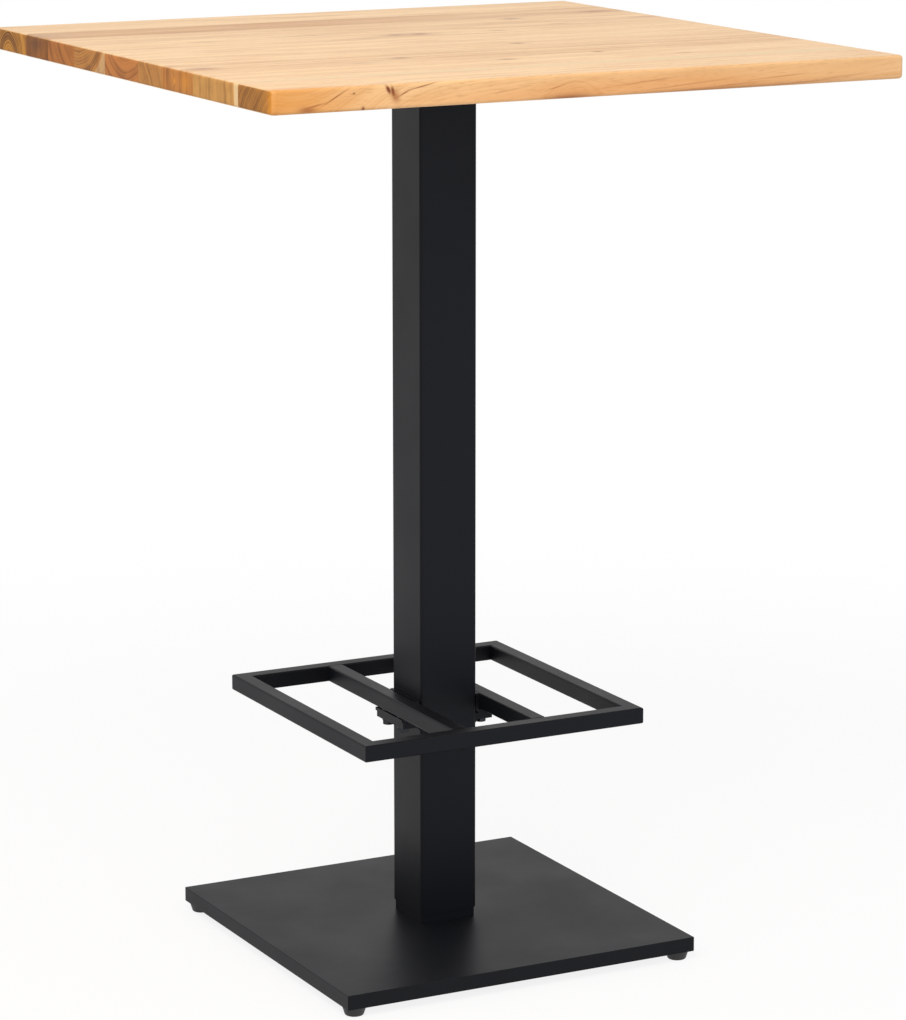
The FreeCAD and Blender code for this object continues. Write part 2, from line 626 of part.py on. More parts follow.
def make_foot(label, x_sign, y_sign):
    """Tapered plastic foot, hollow round the stem and its flange."""
    body = new_body(label)
    profile = sketch_on(body, "XZ_Plane", "profile")
    top = "Sizes.glide_height"
    polygon(profile, [("0", "0"), ("Sizes.glide_sole_radius", "0"), ("Sizes.glide_top_radius", top),
                      ("0", top)])
    shape = revolve(body, profile)

    def is_sole_rim(edge):
        box = edge.BoundBox
        return is_level(edge) and box.ZMin < CLOSE and box.XLength > CLOSE

    dress(body, "Fillet", shape, is_sole_rim, "Sizes.glide_sole_rounding", "RoundSole")
    cavity = sketch_on(body, "XZ_Plane", "cavity_profile")
    low = "(Sizes.stem_head_lift - Sizes.running_fit)"
    high = "(Sizes.stem_head_lift + Sizes.stem_head_height + Sizes.running_fit)"
    wide = "(Sizes.stem_head_radius + Sizes.running_fit)"
    neck = "(Sizes.stem_radius + Sizes.running_fit)"
    polygon(cavity, [("0", low), (wide, low), (wide, high), (neck, high), (neck, top), ("0", top)])
    groove(body, cavity, "StemCavity")
    return place(body, f"{x_sign}{GLIDE_PLACE}", f"{y_sign}{GLIDE_PLACE}")


# ------------------------------------------------------------------- foot rest
def rail_tube(label, length):
    """Square tube along X, centred on the body's origin in Y and Z."""
    body = new_body(label)
    side = "Sizes.rail_side"
    section = sketch_on(body, "YZ_Plane", "section", f"-{length} / 2")
    radius = "(Sizes.tube_bend_ratio * Sizes.rail_wall)"
    bore = f"({side} - 2 * Sizes.rail_wall)"
    rounded_rectangle(section, side, side, radius)
    rounded_rectangle(section, bore, bore, f"({radius} - Sizes.rail_wall)")
    pad(body, section, length)
    return body


def make_rail(label, length, x, y, angle):
    """Rail of the outer ring, mitred at both ends; its outer face looks to -Y before the turn."""
    body = rail_tube(label, length)
    side = "Sizes.rail_side"
    mitre = sketch_on(body, "XY_Plane", "mitres", side)
    # A cut leaves the outer edge whole and takes one side of the tube off the inner edge.
    # Its triangle stands one side clear of the tube all round.
    clear_y = f"({side} / 2 + {side})"
    for sign in ("-", ""):
        beyond = f"{sign}({length} / 2 + {side})"
        inside = f"{sign}({length} / 2 - 2 * {side})"
        polygon(mitre, [(beyond, f"-{clear_y}"), (inside, clear_y), (beyond, clear_y)])
    pocket(body, mitre, None, "Mitres")
    return place(body, x, y, f"Sizes.rest_height + {side} / 2", UP, angle)


def make_crossbar(label, x):
    """Tube between the front and the back rail, with two rivet-nut holes in its lower wall."""
    body = rail_tube(label, "(Sizes.rest_depth - 2 * Sizes.rail_side)")
    holes = sketch_on(body, "XY_Plane", "nut_places")
    for sign in ("-", ""):
        circle(holes, f"{sign}{BOLT_SPAN} / 2", "0", NUT_HOLE)
    pocket(body, holes, None, "NutHoles")
    return place(body, x, "0", "Sizes.rest_height + Sizes.rail_side / 2", UP, 90)


# ------------------------------------------------------- shelves and brackets
def make_shelf(label, x_sign, angle):
    """Thick plate on the column's side, under the bracket, drawn with the weld that holds it."""
    body = new_body(label)
    thick = "Sizes.shelf_thickness"
    weld = "Sizes.shelf_weld"
    section = sketch_on(body, "XZ_Plane", "section", f"-{BRACKET_LENGTH} / 2")
    polygon(section, [("0", "0"), (SHELF_OUT, "0"), (SHELF_OUT, f"-{thick}"), (weld, f"-{thick}"),
                      ("0", f"-{thick} - {weld}")])
    pad(body, section, BRACKET_LENGTH)
    flat = sketch_on(body, "XY_Plane", "bolt_places")
    for sign in ("-", ""):
        circle(flat, f"Sizes.rivet_flange + {BOLT_OUT}", f"{sign}{BOLT_SPAN} / 2",
               "(Sizes.bolt_radius + Sizes.hole_room)")
    pocket(body, flat, thick, "BoltHoles")
    return place(body, f"{x_sign}{COLUMN_FACE}", "0", SHELF_Z, UP, angle)


def make_bracket(label, x_sign, angle):
    """Bent steel angle: one leg under the crossbar, the other up between it and the column."""
    body = new_body(label)
    thick = "Sizes.bracket_thickness"
    section = sketch_on(body, "XZ_Plane", "section", f"-{BRACKET_LENGTH} / 2")
    polygon(section, [("0", f"-{thick}"), (BRACKET_OUT, f"-{thick}"), (BRACKET_OUT, "0"), (thick, "0"),
                      (thick, BRACKET_UP), ("0", BRACKET_UP)])
    shape = pad(body, section, BRACKET_LENGTH)
    wall = value(thick)

    def at_bend(edge, x, z):
        box = edge.BoundBox
        return box.YLength > CLOSE and abs(box.XMin - x) < CLOSE and abs(box.ZMin - z) < CLOSE

    shape = dress(body, "Fillet", shape, lambda edge: at_bend(edge, wall, 0.0),
                  "Sizes.bracket_bend", "BendInside")
    dress(body, "Fillet", shape, lambda edge: at_bend(edge, 0.0, -wall),
          f"Sizes.bracket_bend + {thick}", "BendOutside")
    hole = "(Sizes.bolt_radius + Sizes.hole_room)"
    flat = sketch_on(body, "XY_Plane", "crossbar_bolt_places")
    upright = sketch_on(body, "YZ_Plane", "column_bolt_places", thick)
    for sign in ("-", ""):
        circle(flat, BOLT_OUT, f"{sign}{BOLT_SPAN} / 2", hole)
        circle(upright, f"{sign}{BOLT_SPAN} / 2", COLUMN_BOLT_UP, hole)
    pocket(body, flat, thick, "CrossbarBoltHoles")
    pocket(body, upright, thick, "ColumnBoltHoles")
    rim = f"({CUP_RIM} + Sizes.thread_fit)"
    foot = f"({CUP_FOOT} + Sizes.thread_fit)"
    for end, sign in (("Front", ""), ("Back", "-")):
        cone = sketch_on(body, "XZ_Plane", "cup_profile", f"{sign}{BOLT_SPAN} / 2")
        cone.setExpression("AttachmentOffset.Base.y", COLUMN_BOLT_UP)
        polygon(cone, [("Sizes.cone_land", "0"), (thick, "0"), (thick, rim), ("Sizes.cone_land", foot)])
        groove(body, cone, f"{end}Countersink", "H_Axis")
    return place(body, f"{x_sign}{BRACKET_X}", "0", BRACKET_Z, UP, angle)


# ---------------------------------------- fasteners of the brackets, in fours
def bracket_fours(label, build, under_crossbars):
    """Four like pieces: both ends of both brackets, under the crossbars or in the column's sides.

    build makes one piece about its own Z axis, with Z = 0 on the face of the crossbar or column
    and +Z going into it.
    """
    pieces = []
    for side, angle in (("-", 90), ("", -90)):
        for end in ("-", ""):
            piece = build(f"{label}_piece")
            y = f"{end}{BOLT_SPAN} / 2"
            if under_crossbars:
                place(piece, f"{side}{CROSSBAR_X}", y, "Sizes.rest_height")
            else:
                place(piece, f"{side}{COLUMN_FACE}", y, COLUMN_BOLT_Z, BACKWARD, angle)
            pieces.append(piece)
    group = doc.addObject("Part::Compound", label)
    group.Label = label
    group.Links = pieces
    return group


def hex_bolt(name):
    """Hexagon bolt with a turned shank and a bevelled head."""
    body = new_body(name)
    head = sketch_on(body, "XY_Plane", "head_outline", f"-{HEAD_FACE} - Sizes.bolt_head_height")
    flat_half = "(Sizes.bolt_head_width / 2)"
    corner = f"({flat_half} / cos(30deg))"
    corners = [(f"{corner} * cos({60 * step}deg)", f"{corner} * sin({60 * step}deg)") for step in range(6)]
    polygon(head, corners)
    pad(body, head, "Sizes.bolt_head_height", "Head")
    shank = sketch_on(body, "XY_Plane", "shank_outline", f"-{HEAD_FACE}")
    circle(shank, "0", "0", "Sizes.bolt_radius")
    pad(body, shank, "Sizes.crossbar_bolt_length", "Shank")
    bevel = sketch_on(body, "XZ_Plane", "bevel_profile")
    low = f"-{HEAD_FACE} - Sizes.bolt_head_height"
    beyond = f"(2 * {corner} - {flat_half})"
    polygon(bevel, [(flat_half, low), (beyond, low), (beyond, f"{low} + {beyond} - {flat_half}")])
    groove(body, bevel, "HeadBevel")
    return body


def bolt_washer(name):
    body = new_body(name)
    profile = sketch_on(body, "XZ_Plane", "profile")
    inner = "(Sizes.bolt_radius + Sizes.hole_room)"
    polygon(profile, [(inner, f"-{HEAD_FACE}"), ("Sizes.washer_radius", f"-{HEAD_FACE}"),
                      ("Sizes.washer_radius", f"-{WASHER_FACE}"), (inner, f"-{WASHER_FACE}")])
    revolve(body, profile)
    return body


def flush_bolt(name):
    """Countersunk bolt, flush with the bracket's upright leg so that the crossbar clears it."""
    body = new_body(name)
    profile = sketch_on(body, "XZ_Plane", "profile")
    key = "Sizes.column_bolt_key_radius"
    radius = "Sizes.bolt_radius"
    face = f"-{LEG_FACE}"
    cone_foot = f"({face} + {CONE_DEPTH})"
    tip = f"({face} + Sizes.column_bolt_length)"
    polygon(profile, [("0", cone_foot), (key, cone_foot), (key, face), (CONE_RIM, face),
                      (radius, cone_foot), (radius, tip), ("0", tip)])
    revolve(body, profile)
    return body


def cup_washer(name):
    """Conical washer between a countersunk head and the bracket."""
    body = new_body(name)
    profile = sketch_on(body, "XZ_Plane", "profile")
    fit = "Sizes.thread_fit"
    face = f"-{LEG_FACE}"
    cone_foot = f"({face} + {CONE_DEPTH})"
    polygon(profile, [(f"{CONE_RIM} + {fit}", face), (CUP_RIM, face), (CUP_FOOT, cone_foot),
                      (f"Sizes.bolt_radius + {fit}", cone_foot)])
    revolve(body, profile)
    return body


def rivet_nut(name):
    """Flanged sleeve set into a tube wall; the bolt screws into it."""
    body = new_body(name)
    profile = sketch_on(body, "XZ_Plane", "profile")
    inner = "(Sizes.bolt_radius + Sizes.thread_fit)"
    outer = "Sizes.rivet_nut_radius"
    rim = "Sizes.rivet_flange_radius"
    polygon(profile, [(inner, "-Sizes.rivet_flange"), (rim, "-Sizes.rivet_flange"), (rim, "0"), (outer, "0"),
                      (outer, "Sizes.rivet_nut_length"), (inner, "Sizes.rivet_nut_length")])
    revolve(body, profile)
    return body


# -------------------------------------------------------------------- assembly
pilot_holes = wood_screw_holes()
sub_parts = [make_board(number, pilot_holes) for number in range(1, len(BOARDS) + 1)]
sub_parts += [make_mount_plate(), make_wood_screws(), make_wood_washers(), make_head_screws()]
sub_parts += [make_head_block(), make_column(), make_foot_flange(), make_base_plate(), make_base_screws()]
sub_parts += [
    make_rail("front_rail", "Sizes.rest_length", "0", f"-{REST_Y}", 0),
    make_rail("right_rail", "Sizes.rest_depth", REST_X, "0", 90),
    make_rail("back_rail", "Sizes.rest_length", "0", REST_Y, 180),
    make_rail("left_rail", "Sizes.rest_depth", f"-{REST_X}", "0", 270),
    make_crossbar("left_crossbar", f"-{CROSSBAR_X}"),
    make_crossbar("right_crossbar", CROSSBAR_X),
    make_shelf("left_shelf", "-", 180),
    make_shelf("right_shelf", "", 0),
    make_bracket("left_bracket", "-", 180),
    make_bracket("right_bracket", "", 0),
    bracket_fours("crossbar_bolts", hex_bolt, True),
    bracket_fours("crossbar_washers", bolt_washer, True),
    bracket_fours("crossbar_rivet_nuts", rivet_nut, True),
    bracket_fours("column_bolts", flush_bolt, False),
    bracket_fours("column_washers", cup_washer, False),
    bracket_fours("column_rivet_nuts", rivet_nut, False),
]

for end, end_sign in (("front", "-"), ("back", "")):
    for side, side_sign in (("left", "-"), ("right", "")):
        sub_parts.append(make_stem(f"{end}_{side}_glide_stem", side_sign, end_sign))
        sub_parts.append(make_foot(f"{end}_{side}_glide_foot", side_sign, end_sign))

doc.recompute()
for item in doc.Objects:
    if "Invalid" in item.State or "Error" in item.State:
        raise RuntimeError(f"{item.Label}: {item.State}")
for item in sub_parts:
    if item.Shape.isNull() or not item.Shape.isValid():
        raise RuntimeError(f"{item.Label}: no valid shape")
for item in sub_parts:
    item.Shape.exportStep(f"parts/{item.Label}.step")
    box = item.Shape.BoundBox
    print(f"{item.Label}: {len(item.Shape.Solids)} solid(s), {item.Shape.Volume:.0f} mm3, "
          f"z {box.ZMin:.1f} to {box.ZMax:.1f}")
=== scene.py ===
import math
from collections import namedtuple

import bmesh
import bpy
from bpy.props import FloatProperty, FloatVectorProperty, PointerProperty
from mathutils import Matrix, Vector


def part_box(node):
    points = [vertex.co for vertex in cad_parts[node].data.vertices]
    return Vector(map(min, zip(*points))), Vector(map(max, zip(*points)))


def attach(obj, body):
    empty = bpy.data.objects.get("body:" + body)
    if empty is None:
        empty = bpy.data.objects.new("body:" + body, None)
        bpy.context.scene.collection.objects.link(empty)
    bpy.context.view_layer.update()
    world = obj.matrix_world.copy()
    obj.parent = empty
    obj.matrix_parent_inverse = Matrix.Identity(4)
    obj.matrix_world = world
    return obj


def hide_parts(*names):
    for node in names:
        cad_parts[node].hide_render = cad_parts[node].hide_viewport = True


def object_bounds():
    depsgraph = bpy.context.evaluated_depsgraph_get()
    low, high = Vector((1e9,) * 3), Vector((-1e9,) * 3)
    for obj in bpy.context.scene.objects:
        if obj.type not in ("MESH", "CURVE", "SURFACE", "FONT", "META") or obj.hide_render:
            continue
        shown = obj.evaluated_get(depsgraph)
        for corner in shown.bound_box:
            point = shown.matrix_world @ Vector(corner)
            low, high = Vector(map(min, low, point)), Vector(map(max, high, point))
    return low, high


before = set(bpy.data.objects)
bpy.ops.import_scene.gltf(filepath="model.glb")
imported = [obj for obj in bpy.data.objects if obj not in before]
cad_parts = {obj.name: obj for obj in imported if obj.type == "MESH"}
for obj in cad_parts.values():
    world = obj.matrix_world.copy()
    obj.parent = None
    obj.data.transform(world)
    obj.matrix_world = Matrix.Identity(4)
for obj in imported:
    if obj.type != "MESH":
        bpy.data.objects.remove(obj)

bl_info = {
    "name": "Pub table",
    "version": (1, 0, 0),
    "blender": (4, 5, 0),
    "location": "3D View > Sidebar > Pub table",
    "description": "Finishes, threaded fasteners, glides and studio for a bar-height wooden table",
    "category": "Object",
}

CAD_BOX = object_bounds()
MM = 0.001                                               # metres in a millimetre
COATED_NODES = [
    "mount_plate", "column_tube", "foot_flange", "base_plate",
    "front_rail", "right_rail", "back_rail", "left_rail",
    "left_crossbar", "right_crossbar", "left_shelf", "right_shelf", "left_bracket", "right_bracket",
]
BLACK_FASTENERS = ["crossbar_bolts", "crossbar_washers", "column_bolts", "column_washers"]
PLATED_FASTENERS = ["wood_washers", "head_screws", "crossbar_rivet_nuts", "column_rivet_nuts"]
CORNERS = ["front_left", "front_right", "back_left", "back_right"]
SHARP_EDGE = 30                                          # degrees past which a piece's edge stays sharp
THREAD_DEPTH, THREAD_ROOT, THREAD_CREST = 0.613, 0.83, 0.125       # of a metric thread, in pitches
THREAD_STEPS = 32                                        # steps in one turn of a thread
THREAD_RUN_OUT = 10                                      # steps over which a thread rises from its core
THREAD_SUNK = 1.1                                        # thread depths from crest to hidden foot
LOBE_HEIGHT = 0.14                                       # of a six-lobed recess, in radii
MILD_STEEL = "#8D8E90"
FACTOR, COLOUR_A, COLOUR_B, COLOUR_OUT = 0, 6, 7, 2      # sockets of a Mix node that mixes colours
NOISE_LOW, NOISE_HIGH = 0.3, 0.7                         # where most values of a noise pattern lie


# ------------------------------------------------------------------- colours and nodes
def linear(hex_colour):
    """sRGB hex value to linear RGBA."""
    channels = [int(hex_colour[start:start + 2], 16) / 255 for start in (1, 3, 5)]
    light = [value / 12.92 if value <= 0.04045 else ((value + 0.055) / 1.055) ** 2.4
             for value in channels]
    return (*light, 1.0)


def add_node(tree, kind, inputs=None, **settings):
    """Add a node with its settings and links.

    inputs maps a socket to a value, to the output it is linked to, or to a node for its first output.
    """
    node = tree.nodes.new(kind)
    for name, value in settings.items():
        setattr(node, name, value)
    for key, value in (inputs or {}).items():
        if isinstance(value, bpy.types.Node):
            value = value.outputs[0]
        if isinstance(value, bpy.types.NodeSocket):
            tree.links.new(value, node.inputs[key])
        else:
            node.inputs[key].default_value = value
    return node


def between(low, high):
    """Range settings that spread a noise pattern between two values."""
    return {"From Min": NOISE_LOW, "From Max": NOISE_HIGH, "To Min": low, "To Max": high}


def set_stops(ramp_node, stops):
    """Give a colour ramp its stops, each a position and a grey level or a colour."""
    ramp = ramp_node.color_ramp
    while len(ramp.elements) > 1:
        ramp.elements.remove(ramp.elements[-1])
    for number, (position, level) in enumerate(stops):
        stop = ramp.elements[0] if number == 0 else ramp.elements.new(position)
        stop.position = position
        stop.color = level if isinstance(level, tuple) else (level, level, level, 1.0)
    return ramp_node


def new_material(name):
    """Empty node material and its node tree."""
    material = bpy.data.materials.new(name)
    material.use_nodes = True
    material.node_tree.nodes.clear()
    return material, material.node_tree


def dress(node_names, material):
    """Give CAD nodes a material."""
    for name in node_names:
        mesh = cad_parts[name].data
        mesh.materials.clear()
        mesh.materials.append(material)


# --------------------------------------------------------------- turned and threaded pieces
def round_ring(angle):
    """Same reach at every angle."""
    return 1.0


def hexagon(angle):
    """How far a hexagon with flats at distance 1 reaches at an angle."""
    sector = math.pi / 3
    return 1 / math.cos((angle + sector / 2) % sector - sector / 2)


def six_lobes(angle):
    """Six-lobed recess of a wood screw."""
    return 1 + LOBE_HEIGHT * math.cos(6 * angle)


def turned_shape(mesh, profile, centre, segments=48):
    """Closed skin through rings about an upright axis, each a radius, a height (mm) and a ring shape."""
    rings = []
    for radius, height, shape in profile:
        ring = []
        for step in range(segments):
            angle = 2 * math.pi * step / segments
            reach = radius * MM * shape(angle)
            ring.append(mesh.verts.new((centre[0] + reach * math.cos(angle),
                                        centre[1] + reach * math.sin(angle), height * MM)))
        rings.append(ring)
    for lower, upper in zip(rings, rings[1:]):
        for step in range(segments):
            after = (step + 1) % segments
            mesh.faces.new((lower[step], lower[after], upper[after], upper[step]))
    mesh.faces.new(list(reversed(rings[0])))
    mesh.faces.new(rings[-1])


def thread_ridge(mesh, centre, major, pitch, low, high):
    """Right-handed thread between two heights (mm), as one ridge wound round the core."""
    depth = THREAD_DEPTH * pitch
    root = THREAD_ROOT * pitch
    crest = THREAD_CREST * pitch
    count = round((high - low - root) / pitch * THREAD_STEPS)
    sections = []
    for step in range(count + 1):
        angle = 2 * math.pi * step / THREAD_STEPS
        height = low + root / 2 + pitch * step / THREAD_STEPS
        rise = min(1.0, step / THREAD_RUN_OUT, (count - step) / THREAD_RUN_OUT)
        outer = major - depth * (1 - rise)
        inner = major - THREAD_SUNK * depth
        corners = [(inner, -root / 2), (outer, -crest / 2), (outer, crest / 2), (inner, root / 2)]
        sections.append([mesh.verts.new((centre[0] + radius * MM * math.cos(angle),
                                         centre[1] + radius * MM * math.sin(angle),
                                         (height + lift) * MM)) for radius, lift in corners])
    for here, ahead in zip(sections, sections[1:]):
        for corner in range(4):
            after = (corner + 1) % 4
            mesh.faces.new((here[corner], ahead[corner], ahead[after], here[after]))
    mesh.faces.new(sections[0])
    mesh.faces.new(list(reversed(sections[-1])))


def finish_piece(mesh, name, material, body, node):
    """Turn a bmesh into a piece that stands for a CAD node and rides on its body."""
    bmesh.ops.recalc_face_normals(mesh, faces=mesh.faces)
    data = bpy.data.meshes.new(name)
    mesh.to_mesh(data)
    mesh.free()
    data.materials.append(material)
    data.shade_smooth()
    data.set_sharp_from_angle(angle=math.radians(SHARP_EDGE))
    piece = bpy.data.objects.new(name, data)
    bpy.context.scene.collection.objects.link(piece)
    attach(piece, body)
    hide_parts(node)


# ----------------------------------------------------------------------------- settings
class PubTableWood(bpy.types.PropertyGroup):
    """Oiled acacia boards."""
    light: FloatVectorProperty(name="Early wood", description="Pale wood between the ring lines",
                               size=4, subtype="COLOR", min=0, max=1, default=linear("#F7CE98"))
    dark: FloatVectorProperty(name="Late wood", description="Dark side of a growth ring on long grain",
                              size=4, subtype="COLOR", min=0, max=1, default=linear("#C48644"))
    sapwood: FloatVectorProperty(name="Sapwood", description="Palest wood, at the edge of a board",
                                 size=4, subtype="COLOR", min=0, max=1, default=linear("#EAC794"))
    end_dark: FloatVectorProperty(name="End grain lines", description="Dark ring lines on the sawn ends",
                                  size=4, subtype="COLOR", min=0, max=1, default=linear("#5F3210"))
    fibre: FloatProperty(name="Fibre width", description="Width of the fine streaks along the grain",
                         unit="LENGTH", default=0.0014, min=0.0002)
    pore: FloatProperty(name="Pore width", description="Width of the open pores",
                        unit="LENGTH", default=0.0009, min=0.0001)


class PubTableSteel(bpy.types.PropertyGroup):
    """Powder-coated and plated steel, and the plastic of the glides."""
    coat: FloatVectorProperty(name="Powder coat", description="Colour of the black powder coat",
                              size=4, subtype="COLOR", min=0, max=1, default=linear("#0C0E12"))
    coat_pale: FloatVectorProperty(name="Pale coat", description="Colour of the coat where it is thinner",
                                   size=4, subtype="COLOR", min=0, max=1, default=linear("#101216"))
    coat_grain: FloatProperty(name="Coat grain", description="Spacing of the fine bumps of the coat",
                              unit="LENGTH", default=0.0016, min=0.0002)
    zinc: FloatVectorProperty(name="Zinc", description="Bright zinc plating",
                              size=4, subtype="COLOR", min=0, max=1, default=linear("#C3C7CB"))
    black_zinc: FloatVectorProperty(name="Black zinc", description="Black zinc plating of the bolts",
                                    size=4, subtype="COLOR", min=0, max=1, default=linear("#3A3B3D"))
    nylon: FloatVectorProperty(name="Nylon", description="Black nylon of the glides",
                               size=4, subtype="COLOR", min=0, max=1, default=linear("#1B1B1A"))
    thread_width: FloatProperty(name="Glide thread", description="Outside of the glide thread",
                                unit="LENGTH", default=0.008, min=0.004)
    thread_pitch: FloatProperty(name="Glide thread pitch", description="Rise of the thread in one turn",
                                unit="LENGTH", default=0.00125, min=0.0005)


class PubTableStudio(bpy.types.PropertyGroup):
    """Floor, light and camera."""
    floor: FloatVectorProperty(name="Floor", description="Colour of the floor",
                               size=4, subtype="COLOR", min=0, max=1, default=linear("#F6F6F5"))
    floor_radius: FloatProperty(name="Floor radius", description="Where the floor has faded out",
                                unit="LENGTH", default=2.4, min=1)
    floor_lift: FloatProperty(name="Floor lift", description="How far the floor is lifted to white",
                              subtype="FACTOR", default=0.85, min=0, max=1)
    ambient: FloatProperty(name="Ambient light", description="Strength of the even light from all sides",
                           default=0.72, min=0)
    key_power: FloatProperty(name="Key power", description="Lamp over the left shoulder", unit="POWER",
                             default=60, min=0)
    side_power: FloatProperty(name="Side power", description="Lamp on the left, behind the table",
                              unit="POWER", default=4, min=0)
    fill_power: FloatProperty(name="Fill power", description="Cool lamp low in front, on the right",
                              unit="POWER", default=2.5, min=0)
    camera_distance: FloatProperty(name="Camera distance", description="From the column's axis, level",
                                   unit="LENGTH", default=4.7008, min=1)
    camera_height: FloatProperty(name="Camera height", description="Over the floor",
                                 unit="LENGTH", default=1.5696, min=0)
    camera_side: FloatProperty(name="Camera side", description="Angle round the table from its front",
                               subtype="ANGLE", default=math.radians(-27.303))
    camera_turn: FloatProperty(name="Camera turn", description="Turn of the view off the column's axis",
                               subtype="ANGLE", default=math.radians(-0.278))
    camera_pitch: FloatProperty(name="Camera pitch", description="How far the camera looks down",
                                subtype="ANGLE", default=math.radians(12.352))
    camera_lens: FloatProperty(name="Lens", description="Focal length for a 36 mm film height",
                               subtype="DISTANCE_CAMERA", default=139.63, min=20)


# -------------------------------------------------------------------------- wood boards
# One board, in the order from the front. dive: degrees by which its grain runs down to the left. pith:
# where the heart of the log lies, mm across and up from the middle of the board. ring: mm between ring
# lines. tone: how dark the board is, 0 to 1. swing: how far the tone goes up and down from band to band.
# end: colour of its sawn end. lines: strength of the ring lines on the end. sap: radius in mm where the
# pale sapwood begins, and how pale it is. streak: how much darker it turns along part of its length.
Board = namedtuple("Board", "dive pith ring tone swing end lines sap streak", defaults=(None, 0.0))
BOARDS = [
    Board(dive=4.0, pith=(-82, -18), ring=3.0, tone=0.10, swing=0.22, end="#B0752F", lines=0.55),
    Board(dive=-1.7, pith=(150, -20), ring=4.2, tone=0.10, swing=0.34, end="#CD954F", lines=0.22,
          sap=(189, 0.9)),
    Board(dive=0.7, pith=(-120, 22), ring=4.6, tone=0.24, swing=0.40, end="#C37F3A", lines=0.42),
    Board(dive=1.6, pith=(72, -34), ring=3.6, tone=0.12, swing=0.40, end="#C18442", lines=0.38),
    Board(dive=-1.1, pith=(-4, 46), ring=3.4, tone=0.06, swing=0.36, end="#C27A3B", lines=0.45),
    Board(dive=-1.3, pith=(32, 62), ring=3.6, tone=0.08, swing=0.40, end="#BE803E", lines=0.58,
          sap=(99, 0.40)),
    Board(dive=1.4, pith=(-75, 75), ring=3.6, tone=0.16, swing=0.40, end="#B77132", lines=0.50),
    Board(dive=0.9, pith=(-130, 4), ring=4.4, tone=0.22, swing=0.34, end="#9D6125", lines=0.65,
          streak=0.40),
    Board(dive=-1.7, pith=(-3, -30), ring=4.0, tone=0.08, swing=0.36, end="#C78833", lines=0.95),
]

